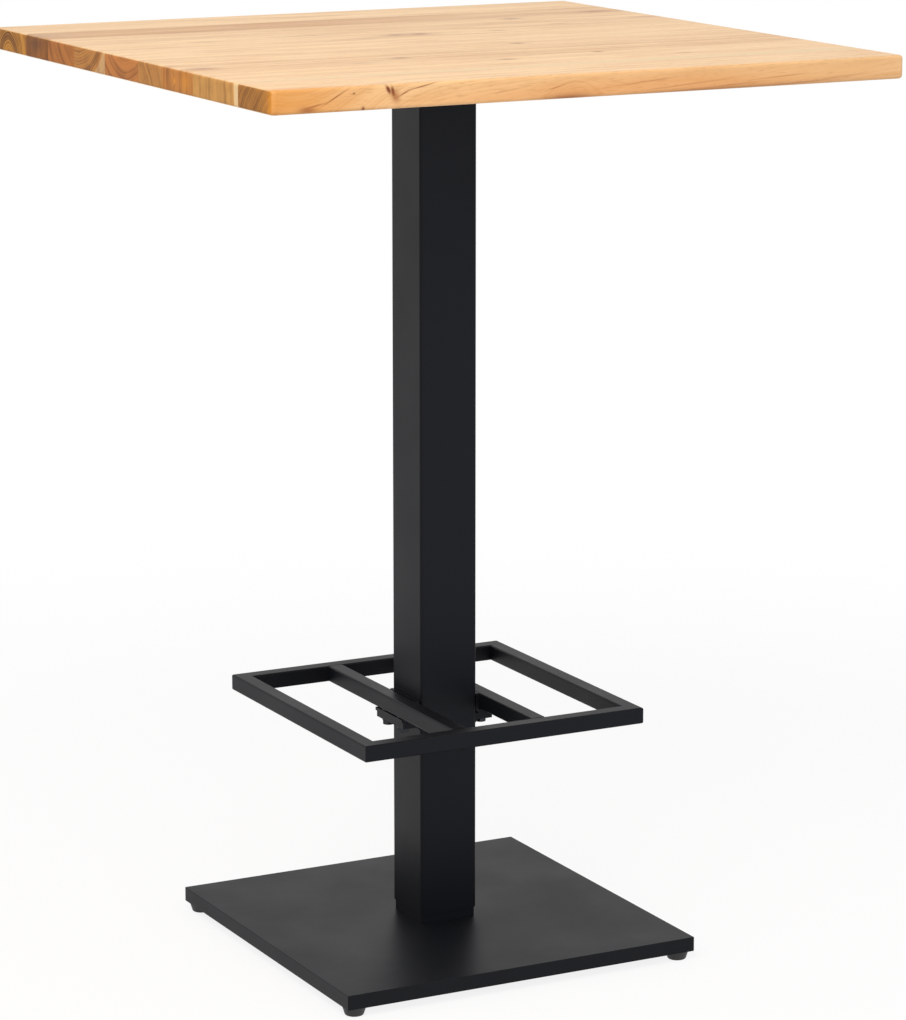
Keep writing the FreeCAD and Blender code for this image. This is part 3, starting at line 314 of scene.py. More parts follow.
# A knot, crack or stained patch: its board, its place in the table's frame (mm), its reach along, across
# and up (mm), its tint and how strong it is, its lean in the upright plane (degrees) and how far the
# rings bend round it (mm). One without strength only bends the rings.
Mark = namedtuple("Mark", "board place reach tint strength lean bend", defaults=("rust", 0.0, 0.0, 0.0))
TINTS = {
    "heart": "#5E1406", "rust": "#8C4818", "glow": "#DD9030", "smoke": "#54392A", "straw": "#C79C56",
    "ash": "#BF9468", "peach": "#DE9048",
}
MARKS = [
    Mark(1, (-368, -400, 1096), (62, 60, 60), bend=52),
    Mark(1, (-370, -404, 1090), (85, 20, 60), "glow", 0.72),
    Mark(1, (-400, -404, 1094), (22, 9, 30), "glow", 0.6),
    Mark(1, (-402, -404, 1084), (16, 6, 7), "rust", 0.6),
    Mark(1, (-330, -404, 1082), (60, 8, 3), "rust", 0.6, lean=-1),
    Mark(1, (-357, -400, 1087), (12, 10, 4), "rust", 0.8),
    Mark(1, (-348, -400, 1091), (13, 6, 0.9), "rust", 0.9, lean=-12),
    Mark(1, (-324, -400, 1099), (17, 6, 0.9), "rust", 0.95, lean=-29),
    Mark(1, (-302, -400, 1102), (1.6, 4, 1.2), "heart", 1),
    Mark(1, (-291, -400, 1085), (2, 8, 3), "heart", 1.1, lean=-15, bend=3),
    Mark(1, (-261, -400, 1104), (2.2, 10, 5), "heart", 1.6, lean=-28, bend=4),
    Mark(1, (-255.5, -400, 1101.5), (2, 10, 6), "heart", 1.6, lean=-14),
    Mark(1, (-252, -400, 1096), (5.5, 10, 8), "rust", 0.75, lean=-12),
    Mark(1, (-242, -400, 1099.5), (9, 5, 0.8), "heart", 1, lean=-26),
    Mark(1, (-221, -400, 1105.5), (17, 5, 0.8), "heart", 0.9, lean=-11),
    Mark(1, (-35, -400, 1092), (17, 20, 16), bend=-8),
    Mark(1, (60, -404, 1088), (420, 10, 26), "peach", 0.76),
    Mark(1, (140, -400, 1079), (340, 12, 7), "rust", 0.3, lean=-1),
    Mark(1, (130, -400, 1083), (120, 12, 4), "rust", 0.48, lean=-1),
    Mark(1, (-40, -400, 1084), (36, 10, 5), "rust", 0.7),
    Mark(1, (-118, -400, 1095.5), (24, 5, 0.7), "rust", 0.42, lean=-7),
    Mark(1, (-54, -400, 1096.5), (20, 5, 0.7), "rust", 0.4, lean=-14),
    Mark(1, (58, -400, 1097), (45, 6, 0.7), "rust", 0.4, lean=-4.5),
    Mark(1, (110, -400, 1091), (60, 5, 0.7), "rust", 0.42, lean=-4),
    Mark(1, (172, -400, 1088), (40, 5, 0.7), "rust", 0.42, lean=-3),
    Mark(1, (235, -400, 1094), (38, 5, 0.8), "rust", 0.38, lean=-3),
    Mark(1, (262, -400, 1086), (60, 5, 1.0), "rust", 0.42, lean=-2),
    Mark(1, (318, -400, 1090), (34, 5, 0.8), "rust", 0.36, lean=-3),
    Mark(1, (345, -400, 1080), (44, 5, 1.2), "rust", 0.34, lean=-1),
    Mark(2, (-25, -231, 1110), (14, 8, 20), "rust", 0.65, bend=9),
    Mark(2, (190, -260, 1110), (14, 7, 20), "rust", 0.4, bend=6),
    Mark(2, (108, -203, 1110), (8, 6, 20), "rust", 0.85, bend=6),
    Mark(3, (-127, -162, 1110), (14, 9, 20), "rust", 0.7, bend=8),
    Mark(3, (-375, -165, 1110), (22, 15, 20), "rust", 0.6, bend=12),
    Mark(3, (-190, -192, 1110), (20, 6, 20), "rust", 0.35, bend=5),
    Mark(3, (-404, -149, 1096), (30, 4, 4), "glow", 0.85, bend=4),
    Mark(3, (-404, -178, 1098), (30, 14, 13), "glow", 0.6, bend=10),
    Mark(3, (-404, -119, 1096), (30, 1.6, 40), "rust", 0.55),
    Mark(3, (-404, -127, 1096), (30, 2, 40), "rust", 0.55),
    Mark(4, (72, -75, 1110), (11, 8, 20), "rust", 0.7, bend=6),
    Mark(6, (5, 82, 1110), (52, 17, 20), "ash", 0.55, bend=8),
    Mark(6, (-10, 82, 1110), (14, 9, 20), "rust", 0.55, bend=6),
    Mark(6, (22, 80, 1110), (12, 8, 20), "rust", 0.85, bend=6),
    Mark(6, (127, 76, 1110), (14, 9, 20), "rust", 0.35, bend=6),
    Mark(6, (238, 120, 1110), (14, 5, 20), "rust", 0.4, bend=4),
    Mark(6, (-115, 121, 1110), (56, 3.5, 20), "rust", 0.65, bend=3),
    Mark(6, (-250, 108, 1110), (24, 7, 20), "rust", 0.35, bend=5),
    Mark(6, (-404, 72, 1092), (30, 5, 14), "rust", 0.35, lean=45),
    Mark(7, (213, 202, 1110), (17, 9, 20), "rust", 0.65, bend=8),
    Mark(7, (375, 150, 1110), (26, 5, 20), "rust", 0.5, bend=4),
    Mark(8, (356, 244, 1110), (24, 13, 20), "rust", 0.6, bend=12),
    Mark(8, (-404, 266, 1101), (60, 24, 12), "smoke", 0.6),
    Mark(8, (-404, 292, 1096), (30, 2, 40), "smoke", 0.6),
    Mark(8, (-404, 262, 1096), (30, 1.2, 40), "heart", 0.6),
    Mark(9, (-404, 398, 1096), (40, 13, 60), "straw", 0.6),
]
KNOT_BEND = 0.35           # share of a knot's reach over which the rings bend
KNOT_HEART = 1.3           # how quickly a knot's dark heart ends
LEAN = 1.2                 # degrees by which a board's grain may lean sideways
OWN_LEAN = 2.3             # radians from one board's lean to the next one's
OWN_GRAIN = 31.7           # grain runs from one board's wander to the next one's
OWN_YEARS = 17.3           # years from one board's rings to the next one's
OWN_CLOUDS = 40.0          # cloud widths from one board's clouds to the next one's
GRAIN_RUN = 240.0          # mm over which a grain line wanders
GRAIN_ACROSS = 55.0        # mm between two grain lines that wander apart
GRAIN_WANDER = 10.0        # mm that it wanders
BANDS_A_YEAR = 0.33        # a band of one tone is about three years wide
CHANGES_A_YEAR = 0.8       # how quickly strong and faint ring lines take turns
RING_PROFILE = [(0.0, 0.35), (0.15, 0.0), (0.50, 0.12), (0.84, 1.0), (1.0, 0.35)]  # darkness over a year
FIBRE_LENGTH = 60          # widths of a fibre
PORE_LENGTH = 14           # widths of a pore
CLOUD_LENGTH = 150.0       # mm
CLOUD_WIDTH = 26.0         # mm
SWING_UP = 0.6             # share of a board's swing that lies on the dark side of its tone
STREAK_FADE = (-80.0, 280.0)       # mm from the board's middle between which its dark streak fades
STREAK_LEFT = 0.3          # share of the streak that is left beyond
LINE_DEPTH = 0.30          # how much darker a ring line makes the long grain
PORE_DEPTH = 0.22          # how much darker a pore is
PORE_RELIEF = -1.2         # how deep a pore is, next to the fibres' height of 1
END_GRAIN = (0.55, 0.85)   # how square to the grain a surface is where end grain begins and is full
END_PALE, END_DEEP = -0.12, 0.14   # tone of the palest and of the darkest bands on a sawn end
END_BANDS = 0.4            # how much darker still, per unit of the board's line strength
END_DULL = 0.32            # how much rougher than the faces a sawn end is
SAP_EDGE = 1.5             # mm over which heartwood turns to sapwood
GLUE_LINE = 0.9            # mm beside a glue joint that its line darkens


def grain_of_board(tree, place, number, board):
    """Lay the grain in a board: its own frame in mm, the wandering grain, the rings and the stains."""
    low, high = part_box(f"top_board_{number}")
    across, up = board.pith
    board_mm = add_node(tree, "ShaderNodeMapping", {
        "Vector": place.outputs["Object"], "Location": tuple((low + high) / 2), "Scale": (MM, MM, MM),
    }, vector_type="TEXTURE")
    # The grain isn't quite parallel to the board: each board leans its own way.
    lean = math.radians(LEAN) * math.sin(OWN_LEAN * number)
    along = add_node(tree, "ShaderNodeMapping", {
        "Vector": board_mm, "Rotation": (0, math.radians(board.dive), lean),
        "Location": (0, -across, -up)})
    drift = add_node(tree, "ShaderNodeMapping", {
        "Vector": along, "Location": (OWN_GRAIN * number, 0, 0),
        "Scale": (1 / GRAIN_RUN, 1 / GRAIN_ACROSS, 1 / GRAIN_ACROSS)})
    wander = add_node(tree, "ShaderNodeTexNoise", {
        "Vector": drift, "Scale": 1.0, "Detail": 2.5, "Roughness": 0.5})
    centred = add_node(tree, "ShaderNodeVectorMath", {
        0: wander.outputs["Color"], 1: (0.5, 0.5, 0.5)}, operation="SUBTRACT")
    grain = add_node(tree, "ShaderNodeVectorMath", {
        0: centred, 1: (0, GRAIN_WANDER, GRAIN_WANDER), 2: along,
    }, operation="MULTIPLY_ADD")
    section = add_node(tree, "ShaderNodeVectorMath", {0: grain, 1: (0, 1, 1)}, operation="MULTIPLY")
    radius = add_node(tree, "ShaderNodeVectorMath", {0: section}, operation="LENGTH")
    ring_distance = radius.outputs["Value"]
    stains = []
    for mark in [mark for mark in MARKS if mark.board == number]:
        local = add_node(tree, "ShaderNodeMapping", {
            "Vector": place.outputs["Object"], "Rotation": (0, math.radians(mark.lean), 0),
            "Location": tuple(value * MM for value in mark.place),
            "Scale": tuple(value * MM for value in mark.reach)}, vector_type="TEXTURE")
        squared = add_node(tree, "ShaderNodeVectorMath", {0: local, 1: local}, operation="DOT_PRODUCT")
        if mark.bend:
            near = add_node(tree, "ShaderNodeMath", {
                0: squared.outputs["Value"], 1: -KNOT_BEND}, operation="MULTIPLY")
            swell = add_node(tree, "ShaderNodeMath", {0: near}, operation="EXPONENT")
            ring_distance = add_node(tree, "ShaderNodeMath", {
                0: swell, 1: mark.bend, 2: ring_distance}, operation="MULTIPLY_ADD")
        if mark.strength:
            sharp = add_node(tree, "ShaderNodeMath", {
                0: squared.outputs["Value"], 1: -KNOT_HEART}, operation="MULTIPLY")
            core = add_node(tree, "ShaderNodeMath", {0: sharp}, operation="EXPONENT")
            share = add_node(tree, "ShaderNodeMath", {0: core, 1: mark.strength}, operation="MULTIPLY")
            stains.append((share, linear(TINTS[mark.tint])))
    return board_mm, grain, ring_distance, stains


def year_rings(tree, ring_distance, number, board):
    """Broad bands of tone, a few years wide, and the thin dark line that ends each year."""
    rings = add_node(tree, "ShaderNodeMath", {0: ring_distance, 1: board.ring}, operation="DIVIDE")
    years = add_node(tree, "ShaderNodeMath", {0: rings, 1: OWN_YEARS * number}, operation="ADD")
    bands = add_node(tree, "ShaderNodeTexNoise", {
        "W": years, "Scale": BANDS_A_YEAR, "Detail": 2.0, "Roughness": 0.6,
    }, noise_dimensions="1D")
    year = add_node(tree, "ShaderNodeMath", {0: years}, operation="FRACT")
    late_wood = set_stops(add_node(tree, "ShaderNodeValToRGB", {"Fac": year}), RING_PROFILE)
    good_year = add_node(tree, "ShaderNodeTexNoise", {
        "W": years, "Scale": CHANGES_A_YEAR, "Detail": 1.0}, noise_dimensions="1D")
    uneven = add_node(tree, "ShaderNodeMapRange", {
        "Value": good_year, "From Min": 0.34, "From Max": 0.66, "To Min": 0.15})
    lines = add_node(tree, "ShaderNodeMath", {0: late_wood, 1: uneven}, operation="MULTIPLY")
    return bands, lines


def fibres_and_pores(tree, grain, settings):
    """Fine streaks and open pores along the grain.

    They are a tenth of these widths on real acacia; drawn this coarse they still show.
    """
    fibre = settings.fibre / MM
    fibre_place = add_node(tree, "ShaderNodeMapping", {
        "Vector": grain, "Scale": (1 / (FIBRE_LENGTH * fibre), 1 / fibre, 1 / fibre)})
    fibres = add_node(tree, "ShaderNodeTexNoise", {
        "Vector": fibre_place, "Scale": 1.0, "Detail": 3.0, "Roughness": 0.6})
    pore = settings.pore / MM
    pore_place = add_node(tree, "ShaderNodeMapping", {
        "Vector": grain, "Scale": (1 / (PORE_LENGTH * pore), 1 / pore, 1 / pore)})
    pore_noise = add_node(tree, "ShaderNodeTexNoise", {
        "Vector": pore_place, "Scale": 1.0, "Detail": 0.0})
    pores = add_node(tree, "ShaderNodeMapRange", {
        "Value": pore_noise, "From Min": 0.66, "From Max": 0.74})
    return fibres, pores


def glue_joints(tree, across, clouds, number):
    """Thin darker line beside a glue joint, which comes and goes along the seam."""
    low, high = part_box(f"top_board_{number}")
    half_width = (high.y - low.y) / MM / 2
    inward = {1: 1.0, len(BOARDS): -1.0}.get(number)         # the outer boards have one joint
    if inward is None:
        side = add_node(tree, "ShaderNodeMath", {0: across}, operation="ABSOLUTE")
    else:
        side = add_node(tree, "ShaderNodeMath", {0: across, 1: inward}, operation="MULTIPLY")
    beside = add_node(tree, "ShaderNodeMapRange", {
        "Value": side, "From Min": half_width - GLUE_LINE, "From Max": half_width})
    patchy = add_node(tree, "ShaderNodeMapRange", {
        "Value": clouds, "From Min": 0.42, "From Max": 0.56, "To Max": 0.55})
    return add_node(tree, "ShaderNodeMath", {0: beside, 1: patchy}, operation="MULTIPLY")


def oiled_acacia(number, board, settings):
    """Oiled acacia, planed and sanded: honey heartwood whose rings run through the whole board.

    One solid pattern gives ring arcs on the sawn ends and streaks along the faces, so both meet at
    the edges. Oil darkens the thirsty end grain and leaves a low sheen on the faces.
    """
    material, tree = new_material(f"oiled_acacia_board_{number}")
    place = add_node(tree, "ShaderNodeTexCoord")
    board_mm, grain, ring_distance, stains = grain_of_board(tree, place, number, board)
    bands, lines = year_rings(tree, ring_distance, number, board)
    fibres, pores = fibres_and_pores(tree, grain, settings)
    # Soft clouds, a hand long and a finger wide, where the grain stands a little on end.
    cloud_place = add_node(tree, "ShaderNodeMapping", {
        "Vector": grain, "Location": (0, OWN_CLOUDS * number, 0),
        "Scale": (1 / CLOUD_LENGTH, 1 / CLOUD_WIDTH, 1 / CLOUD_WIDTH)})
    clouds = add_node(tree, "ShaderNodeTexNoise", {
        "Vector": cloud_place, "Scale": 1.0, "Detail": 2.0, "Roughness": 0.55})
    cloud_part = add_node(tree, "ShaderNodeMapRange", {"Value": clouds, **between(-0.14, 0.16)})
    # Heartwood streak: strong over one stretch of the board, faint beyond it.
    split = add_node(tree, "ShaderNodeSeparateXYZ", {"Vector": board_mm})
    fading = add_node(tree, "ShaderNodeMapRange", {
        "Value": split.outputs["X"], "From Min": STREAK_FADE[0], "From Max": STREAK_FADE[1],
        "To Min": board.streak, "To Max": STREAK_LEFT * board.streak}, interpolation_type="SMOOTHSTEP")

    # Long grain: its tone goes from 0 (early wood) to 1 (late wood).
    toned = add_node(tree, "ShaderNodeMapRange", {
        "Value": bands, "From Min": 0.32, "From Max": 0.70,
        "To Min": board.tone - (1 - SWING_UP) * board.swing,
        "To Max": board.tone + SWING_UP * board.swing}, clamp=False)
    with_streak = add_node(tree, "ShaderNodeMath", {0: toned, 1: fading}, operation="ADD")
    with_clouds = add_node(tree, "ShaderNodeMath", {0: with_streak, 1: cloud_part}, operation="ADD")
    with_lines = add_node(tree, "ShaderNodeMath", {
        0: lines, 1: LINE_DEPTH, 2: with_clouds}, operation="MULTIPLY_ADD")
    fibre_part = add_node(tree, "ShaderNodeMapRange", {"Value": fibres, **between(-0.10, 0.12)})
    long_tone = add_node(tree, "ShaderNodeMath", {
        0: with_lines, 1: fibre_part}, operation="ADD", use_clamp=True)
    long_colour = add_node(tree, "ShaderNodeMix", {
        FACTOR: long_tone, COLOUR_A: tuple(settings.light),
        COLOUR_B: tuple(settings.dark)}, data_type="RGBA")

    # End grain: darker bands and lines, on the surfaces that stand square to the grain.
    end_bands = add_node(tree, "ShaderNodeMapRange", {
        "Value": bands, "From Min": 0.36, "From Max": 0.66,
        "To Min": END_PALE, "To Max": END_DEEP + END_BANDS * board.lines}, clamp=False)
    end_sum = add_node(tree, "ShaderNodeMath", {
        0: lines, 1: board.lines, 2: end_bands}, operation="MULTIPLY_ADD")
    end_tone = add_node(tree, "ShaderNodeMath", {
        0: end_sum, 1: cloud_part}, operation="ADD", use_clamp=True)
    end_colour = add_node(tree, "ShaderNodeMix", {
        FACTOR: end_tone, COLOUR_A: linear(board.end),
        COLOUR_B: tuple(settings.end_dark)}, data_type="RGBA")
    facing = add_node(tree, "ShaderNodeSeparateXYZ", {"Vector": place.outputs["Normal"]})
    square = add_node(tree, "ShaderNodeMath", {0: facing.outputs["X"]}, operation="ABSOLUTE")
    end_grain = add_node(tree, "ShaderNodeMapRange", {
        "Value": square, "From Min": END_GRAIN[0], "From Max": END_GRAIN[1],
    }, interpolation_type="SMOOTHSTEP")

    # Layers over each other: long grain, end grain, sapwood, pores and glue joints, stains.
    layers = [(end_grain, end_colour.outputs[COLOUR_OUT])]
    if board.sap:
        sap_radius, sap_share = board.sap
        pale = add_node(tree, "ShaderNodeMapRange", {
            "Value": ring_distance, "From Min": sap_radius, "From Max": sap_radius + SAP_EDGE,
            "To Max": sap_share}, interpolation_type="SMOOTHSTEP")
        layers.append((pale, tuple(settings.sapwood)))
    seam = glue_joints(tree, split.outputs["Y"], clouds, number)
    pore_share = add_node(tree, "ShaderNodeMath", {
        0: pores, 1: PORE_DEPTH, 2: seam}, operation="MULTIPLY_ADD")
    layers.append((pore_share, tuple(settings.end_dark)))
    colour = long_colour.outputs[COLOUR_OUT]
    for share, tint in layers + stains:
        colour = add_node(tree, "ShaderNodeMix", {
            FACTOR: share, COLOUR_A: colour, COLOUR_B: tint}, data_type="RGBA").outputs[COLOUR_OUT]

    relief = add_node(tree, "ShaderNodeMath", {
        0: pores, 1: PORE_RELIEF, 2: fibres}, operation="MULTIPLY_ADD")
    bump = add_node(tree, "ShaderNodeBump", {"Height": relief, "Strength": 0.35, "Distance": 0.10 * MM})
    sheen = add_node(tree, "ShaderNodeMapRange", {"Value": fibres, **between(0.36, 0.46)})
    dull = add_node(tree, "ShaderNodeMath", {
        0: end_grain, 1: END_DULL, 2: sheen}, operation="MULTIPLY_ADD")
    shader = add_node(tree, "ShaderNodeBsdfPrincipled", {
        "Base Color": colour, "Roughness": dull, "IOR": 1.38, "Normal": bump})
    add_node(tree, "ShaderNodeOutputMaterial", {"Surface": shader})
    return material


class PUBTABLE_OT_wood_top(bpy.types.Operator):
    """Finish the nine boards of the top as oiled acacia"""
    bl_idname = "pubtable.wood_top"
    bl_label = "Wooden top"

    def execute(self, context):
        settings = context.scene.pub_table_wood
        for number, board in enumerate(BOARDS, start=1):
            dress([f"top_board_{number}"], oiled_acacia(number, board, settings))
        return {"FINISHED"}


# ------------------------------------------------------------------- steel and plastic
COAT_CLOUD = 110.0         # mm between patches where the powder lay thicker
PLATING_BLOTCH = 4.5       # mm between blotches of the plating
RUBBED, WORN = 0.06, 0.08  # how much smoother and rougher a plating is in places
ETCH = 0.7                 # mm between the bumps of the etched mould; real ones are too fine to show


def powder_coat(settings):
    """Polyester powder coat, baked: satin black with the faint bumps that the melted powder leaves."""
    material, tree = new_material("baked_powder_coat_black")
    place = add_node(tree, "ShaderNodeTexCoord")
    grain = add_node(tree, "ShaderNodeTexNoise", {
        "Vector": place.outputs["Object"], "Scale": 1 / settings.coat_grain, "Detail": 2.0,
        "Roughness": 0.6})
    cloud = add_node(tree, "ShaderNodeTexNoise", {
        "Vector": place.outputs["Object"], "Scale": 1 / (COAT_CLOUD * MM), "Detail": 3.0})
    rough = add_node(tree, "ShaderNodeMapRange", {"Value": cloud, **between(0.40, 0.48)})
    tint = add_node(tree, "ShaderNodeMix", {
        FACTOR: cloud, COLOUR_A: tuple(settings.coat),
        COLOUR_B: tuple(settings.coat_pale)}, data_type="RGBA")
    bump = add_node(tree, "ShaderNodeBump", {"Height": grain, "Strength": 0.25, "Distance": 0.05 * MM})
    shader = add_node(tree, "ShaderNodeBsdfPrincipled", {
        "Base Color": tint.outputs[COLOUR_OUT], "Roughness": rough, "IOR": 1.23, "Normal": bump})
    add_node(tree, "ShaderNodeOutputMaterial", {"Surface": shader})
    return material


def plated_steel(name, colour, roughness):
    """Zinc plated steel, bright or passivated black: a metal gloss, a little blotchy and uneven."""
    material, tree = new_material(name)
    place = add_node(tree, "ShaderNodeTexCoord")
    blotch = add_node(tree, "ShaderNodeTexNoise", {
        "Vector": place.outputs["Object"], "Scale": 1 / (PLATING_BLOTCH * MM), "Detail": 3.0})
    rough = add_node(tree, "ShaderNodeMapRange", {
        "Value": blotch, **between(roughness - RUBBED, roughness + WORN)})
    shade = add_node(tree, "ShaderNodeMapRange", {"Value": blotch, **between(0.82, 1.0)})
    tone = add_node(tree, "ShaderNodeVectorMath", {
        0: tuple(colour)[:3], "Scale": shade}, operation="SCALE")
    bump = add_node(tree, "ShaderNodeBump", {"Height": blotch, "Strength": 0.2, "Distance": 0.03 * MM})
    shader = add_node(tree, "ShaderNodeBsdfPrincipled", {
        "Base Color": tone, "Roughness": rough, "Metallic": 1.0, "Normal": bump})
    add_node(tree, "ShaderNodeOutputMaterial", {"Surface": shader})
    return material


def moulded_nylon(settings):
    """Nylon, injection moulded in an etched tool: soft matt black with a fine even texture."""
    material, tree = new_material("moulded_nylon_black")
    place = add_node(tree, "ShaderNodeTexCoord")
    etch = add_node(tree, "ShaderNodeTexNoise", {
        "Vector": place.outputs["Object"], "Scale": 1 / (ETCH * MM), "Detail": 1.0})
    bump = add_node(tree, "ShaderNodeBump", {"Height": etch, "Strength": 0.3, "Distance": 0.05 * MM})
    rub = add_node(tree, "ShaderNodeMapRange", {"Value": etch, **between(0.52, 0.64)})
    shader = add_node(tree, "ShaderNodeBsdfPrincipled", {
        "Base Color": tuple(settings.nylon), "Roughness": rub, "IOR": 1.53, "Normal": bump})
    add_node(tree, "ShaderNodeOutputMaterial", {"Surface": shader})
    return material


class PUBTABLE_OT_steelwork(bpy.types.Operator):
    """Finish the column, base plate, foot rest and brackets in black powder coat"""
    bl_idname = "pubtable.steelwork"
    bl_label = "Coated steelwork"

    def execute(self, context):
        settings = context.scene.pub_table_steel
        dress(COATED_NODES, powder_coat(settings))
        return {"FINISHED"}


def base_screws(material):
    """Socket-head screws in the counterbores of the base plate, each with its hexagon socket."""
    low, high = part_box("base_screws")
    head, shank, key = 8.0, 5.0, 4.0                         # radii in mm; the key's to its flats
    head_height, socket_depth = 10.0, 5.0
    chamfer, lead_in = 1.0, 0.3
    floor = low.z / MM
    tip = high.z / MM
    profile = [(key, floor + socket_depth, hexagon), (key, floor + lead_in, hexagon),
               (key + lead_in, floor, hexagon), (head - chamfer, floor, round_ring),
               (head, floor + chamfer, round_ring), (head, floor + head_height, round_ring),
               (shank, floor + head_height, round_ring), (shank, tip - chamfer, round_ring),
               (shank - chamfer, tip, round_ring)]
    mesh = bmesh.new()
    for x in (low.x + head * MM, high.x - head * MM):
        for y in (low.y + head * MM, high.y - head * MM):
            turned_shape(mesh, profile, (x, y))
    finish_piece(mesh, "base_socket_screws", material, "root", "base_screws")


def wood_screws(material):
    """Pan-head screws up into the boards, heads down, each with a six-lobed recess."""
    low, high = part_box("wood_screws")
    head, shank, recess, point = 4.5, 2.5, 1.7, 0.1          # radii in mm
    head_height, recess_depth, taper = 3.0, 1.8, 4.0
    recess_draft = 0.1                                       # how much wider the recess is at its mouth
    pan = [(1.6, 0.0), (0.7, 0.3), (0.2, 0.9), (0.0, 1.6)]   # in from the rim, and up from the flat
    rows = 4
    floor = low.z / MM
    tip = high.z / MM
    profile = [(recess, floor + recess_depth, six_lobes), (recess + recess_draft, floor, six_lobes)]
    profile += [(head - inset, floor + rise, round_ring) for inset, rise in pan]
    profile += [(head, floor + head_height, round_ring), (shank, floor + head_height, round_ring),
                (shank, tip - taper, round_ring), (point, tip, round_ring)]
    mesh = bmesh.new()
    front = low.y + head * MM
    back = high.y - head * MM
    for x in (low.x + head * MM, high.x - head * MM):
        for row in range(rows):
            turned_shape(mesh, profile, (x, front + (back - front) * row / (rows - 1)))
    finish_piece(mesh, "top_wood_screws", material, "root", "wood_screws")


class PUBTABLE_OT_fasteners(bpy.types.Operator):
    """Build the screws whose heads show, and finish bolts, washers, rivet nuts and screws as plated"""
    bl_idname = "pubtable.fasteners"
    bl_label = "Fasteners"

    def execute(self, context):
        settings = context.scene.pub_table_steel
        bright = plated_steel("turned_zinc_plated_steel", settings.zinc, roughness=0.32)
        black = plated_steel("turned_black_zinc_steel", settings.black_zinc, roughness=0.38)
        dress(PLATED_FASTENERS, bright)
        base_screws(bright)
        wood_screws(bright)
        dress(BLACK_FASTENERS, black)
        dress(["head_block"], plated_steel("sawn_mild_steel", linear(MILD_STEEL), roughness=0.45))
        return {"FINISHED"}


def glide_stem(corner, settings, material):
    """Threaded stem of a glide, with the flange that the foot is moulded round."""
    node = f"{corner}_glide_stem"
    low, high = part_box(node)
    centre = ((low.x + high.x) / 2, (low.y + high.y) / 2)
    flange = (high.x - low.x) / 2 / MM
    major = settings.thread_width / 2 / MM
    pitch = settings.thread_pitch / MM
    core = major - THREAD_DEPTH * pitch
    flange_height, chamfer = 3.0, 0.6
    foot = low.z / MM
    neck = foot + flange_height
    tip = high.z / MM
    mesh = bmesh.new()
    turned_shape(mesh, [(flange, foot, round_ring), (flange, neck, round_ring), (core, neck, round_ring),
                        (core, tip - chamfer, round_ring), (core - chamfer, tip, round_ring)], centre)
    thread_ridge(mesh, centre, major, pitch, neck, tip - chamfer)
    finish_piece(mesh, f"{corner}_threaded_stem", material, f"{corner}_stem", node)


class PUBTABLE_OT_glides(bpy.types.Operator):
    """Build the threaded stems of the levelling glides and finish their moulded feet"""
    bl_idname = "pubtable.glides"
    bl_label = "Levelling glides"

    def execute(self, context):
        settings = context.scene.pub_table_steel
        thread = plated_steel("rolled_zinc_plated_thread", settings.zinc, roughness=0.30)
        for corner in CORNERS:
            glide_stem(corner, settings, thread)
        dress([f"{corner}_glide_foot" for corner in CORNERS], moulded_nylon(settings))
        return {"FINISHED"}


# ------------------------------------------------------------------------------- studio
FLOOR_SIDES = 96           # of the many-sided floor disc
FLOOR_FADE = 0.45          # share of the floor's radius where it begins to fade
WHITE = (1.0, 1.0, 1.0, 1.0)


def seen_directly(tree):
    """1 for what the camera sees, straight, mirrored or through glass; 0 for what lights surfaces."""
    seen = add_node(tree, "ShaderNodeLightPath")
    mirrored = add_node(tree, "ShaderNodeMath", {
        0: seen.outputs["Is Camera Ray"], 1: seen.outputs["Is Glossy Ray"]}, operation="MAXIMUM")
    shown = add_node(tree, "ShaderNodeMath", {
        0: mirrored, 1: seen.outputs["Is Transmission Ray"]}, operation="MAXIMUM")
    return shown


def pale_floor(settings):
    """Painted studio floor: pale and matt, it keeps the table's soft shadow and fades out far off.

    It is clear from underneath, so the table's underside can be looked at.
    """
    material, tree = new_material("painted_studio_floor")
    place = add_node(tree, "ShaderNodeTexCoord")
    distance = add_node(tree, "ShaderNodeVectorMath", {0: place.outputs["Object"]}, operation="LENGTH")
    fade = add_node(tree, "ShaderNodeMapRange", {
        "Value": distance.outputs["Value"], "From Min": FLOOR_FADE * settings.floor_radius,
        "From Max": settings.floor_radius}, interpolation_type="SMOOTHSTEP")
    paint = add_node(tree, "ShaderNodeBsdfDiffuse", {"Color": tuple(settings.floor), "Roughness": 0.3})
    lift = add_node(tree, "ShaderNodeMath", {
        0: seen_directly(tree), 1: settings.floor_lift}, operation="MULTIPLY")
    white = add_node(tree, "ShaderNodeEmission", {"Color": WHITE, "Strength": 1.0})
    lifted = add_node(tree, "ShaderNodeMixShader", {0: lift, 1: paint, 2: white})
    clear = add_node(tree, "ShaderNodeBsdfTransparent")
    underside = add_node(tree, "ShaderNodeNewGeometry")
    gone = add_node(tree, "ShaderNodeMath", {
        0: fade, 1: underside.outputs["Backfacing"]}, operation="MAXIMUM")
    faded = add_node(tree, "ShaderNodeMixShader", {0: gone, 1: lifted, 2: clear})
    add_node(tree, "ShaderNodeOutputMaterial", {"Surface": faded})
    return material


def white_surroundings(scene, settings):
    """White all round to the eye and in reflections; an even grey light for the surfaces."""
    world = bpy.data.worlds.new("studio_surroundings")
    world.use_nodes = True
    tree = world.node_tree
    tree.nodes.clear()
    light = add_node(tree, "ShaderNodeBackground", {"Color": WHITE, "Strength": settings.ambient})
    white = add_node(tree, "ShaderNodeBackground", {"Color": WHITE, "Strength": 1.0})
    chosen = add_node(tree, "ShaderNodeMixShader", {0: seen_directly(tree), 1: light, 2: white})
    add_node(tree, "ShaderNodeOutputWorld", {"Surface": chosen})
    scene.world = world


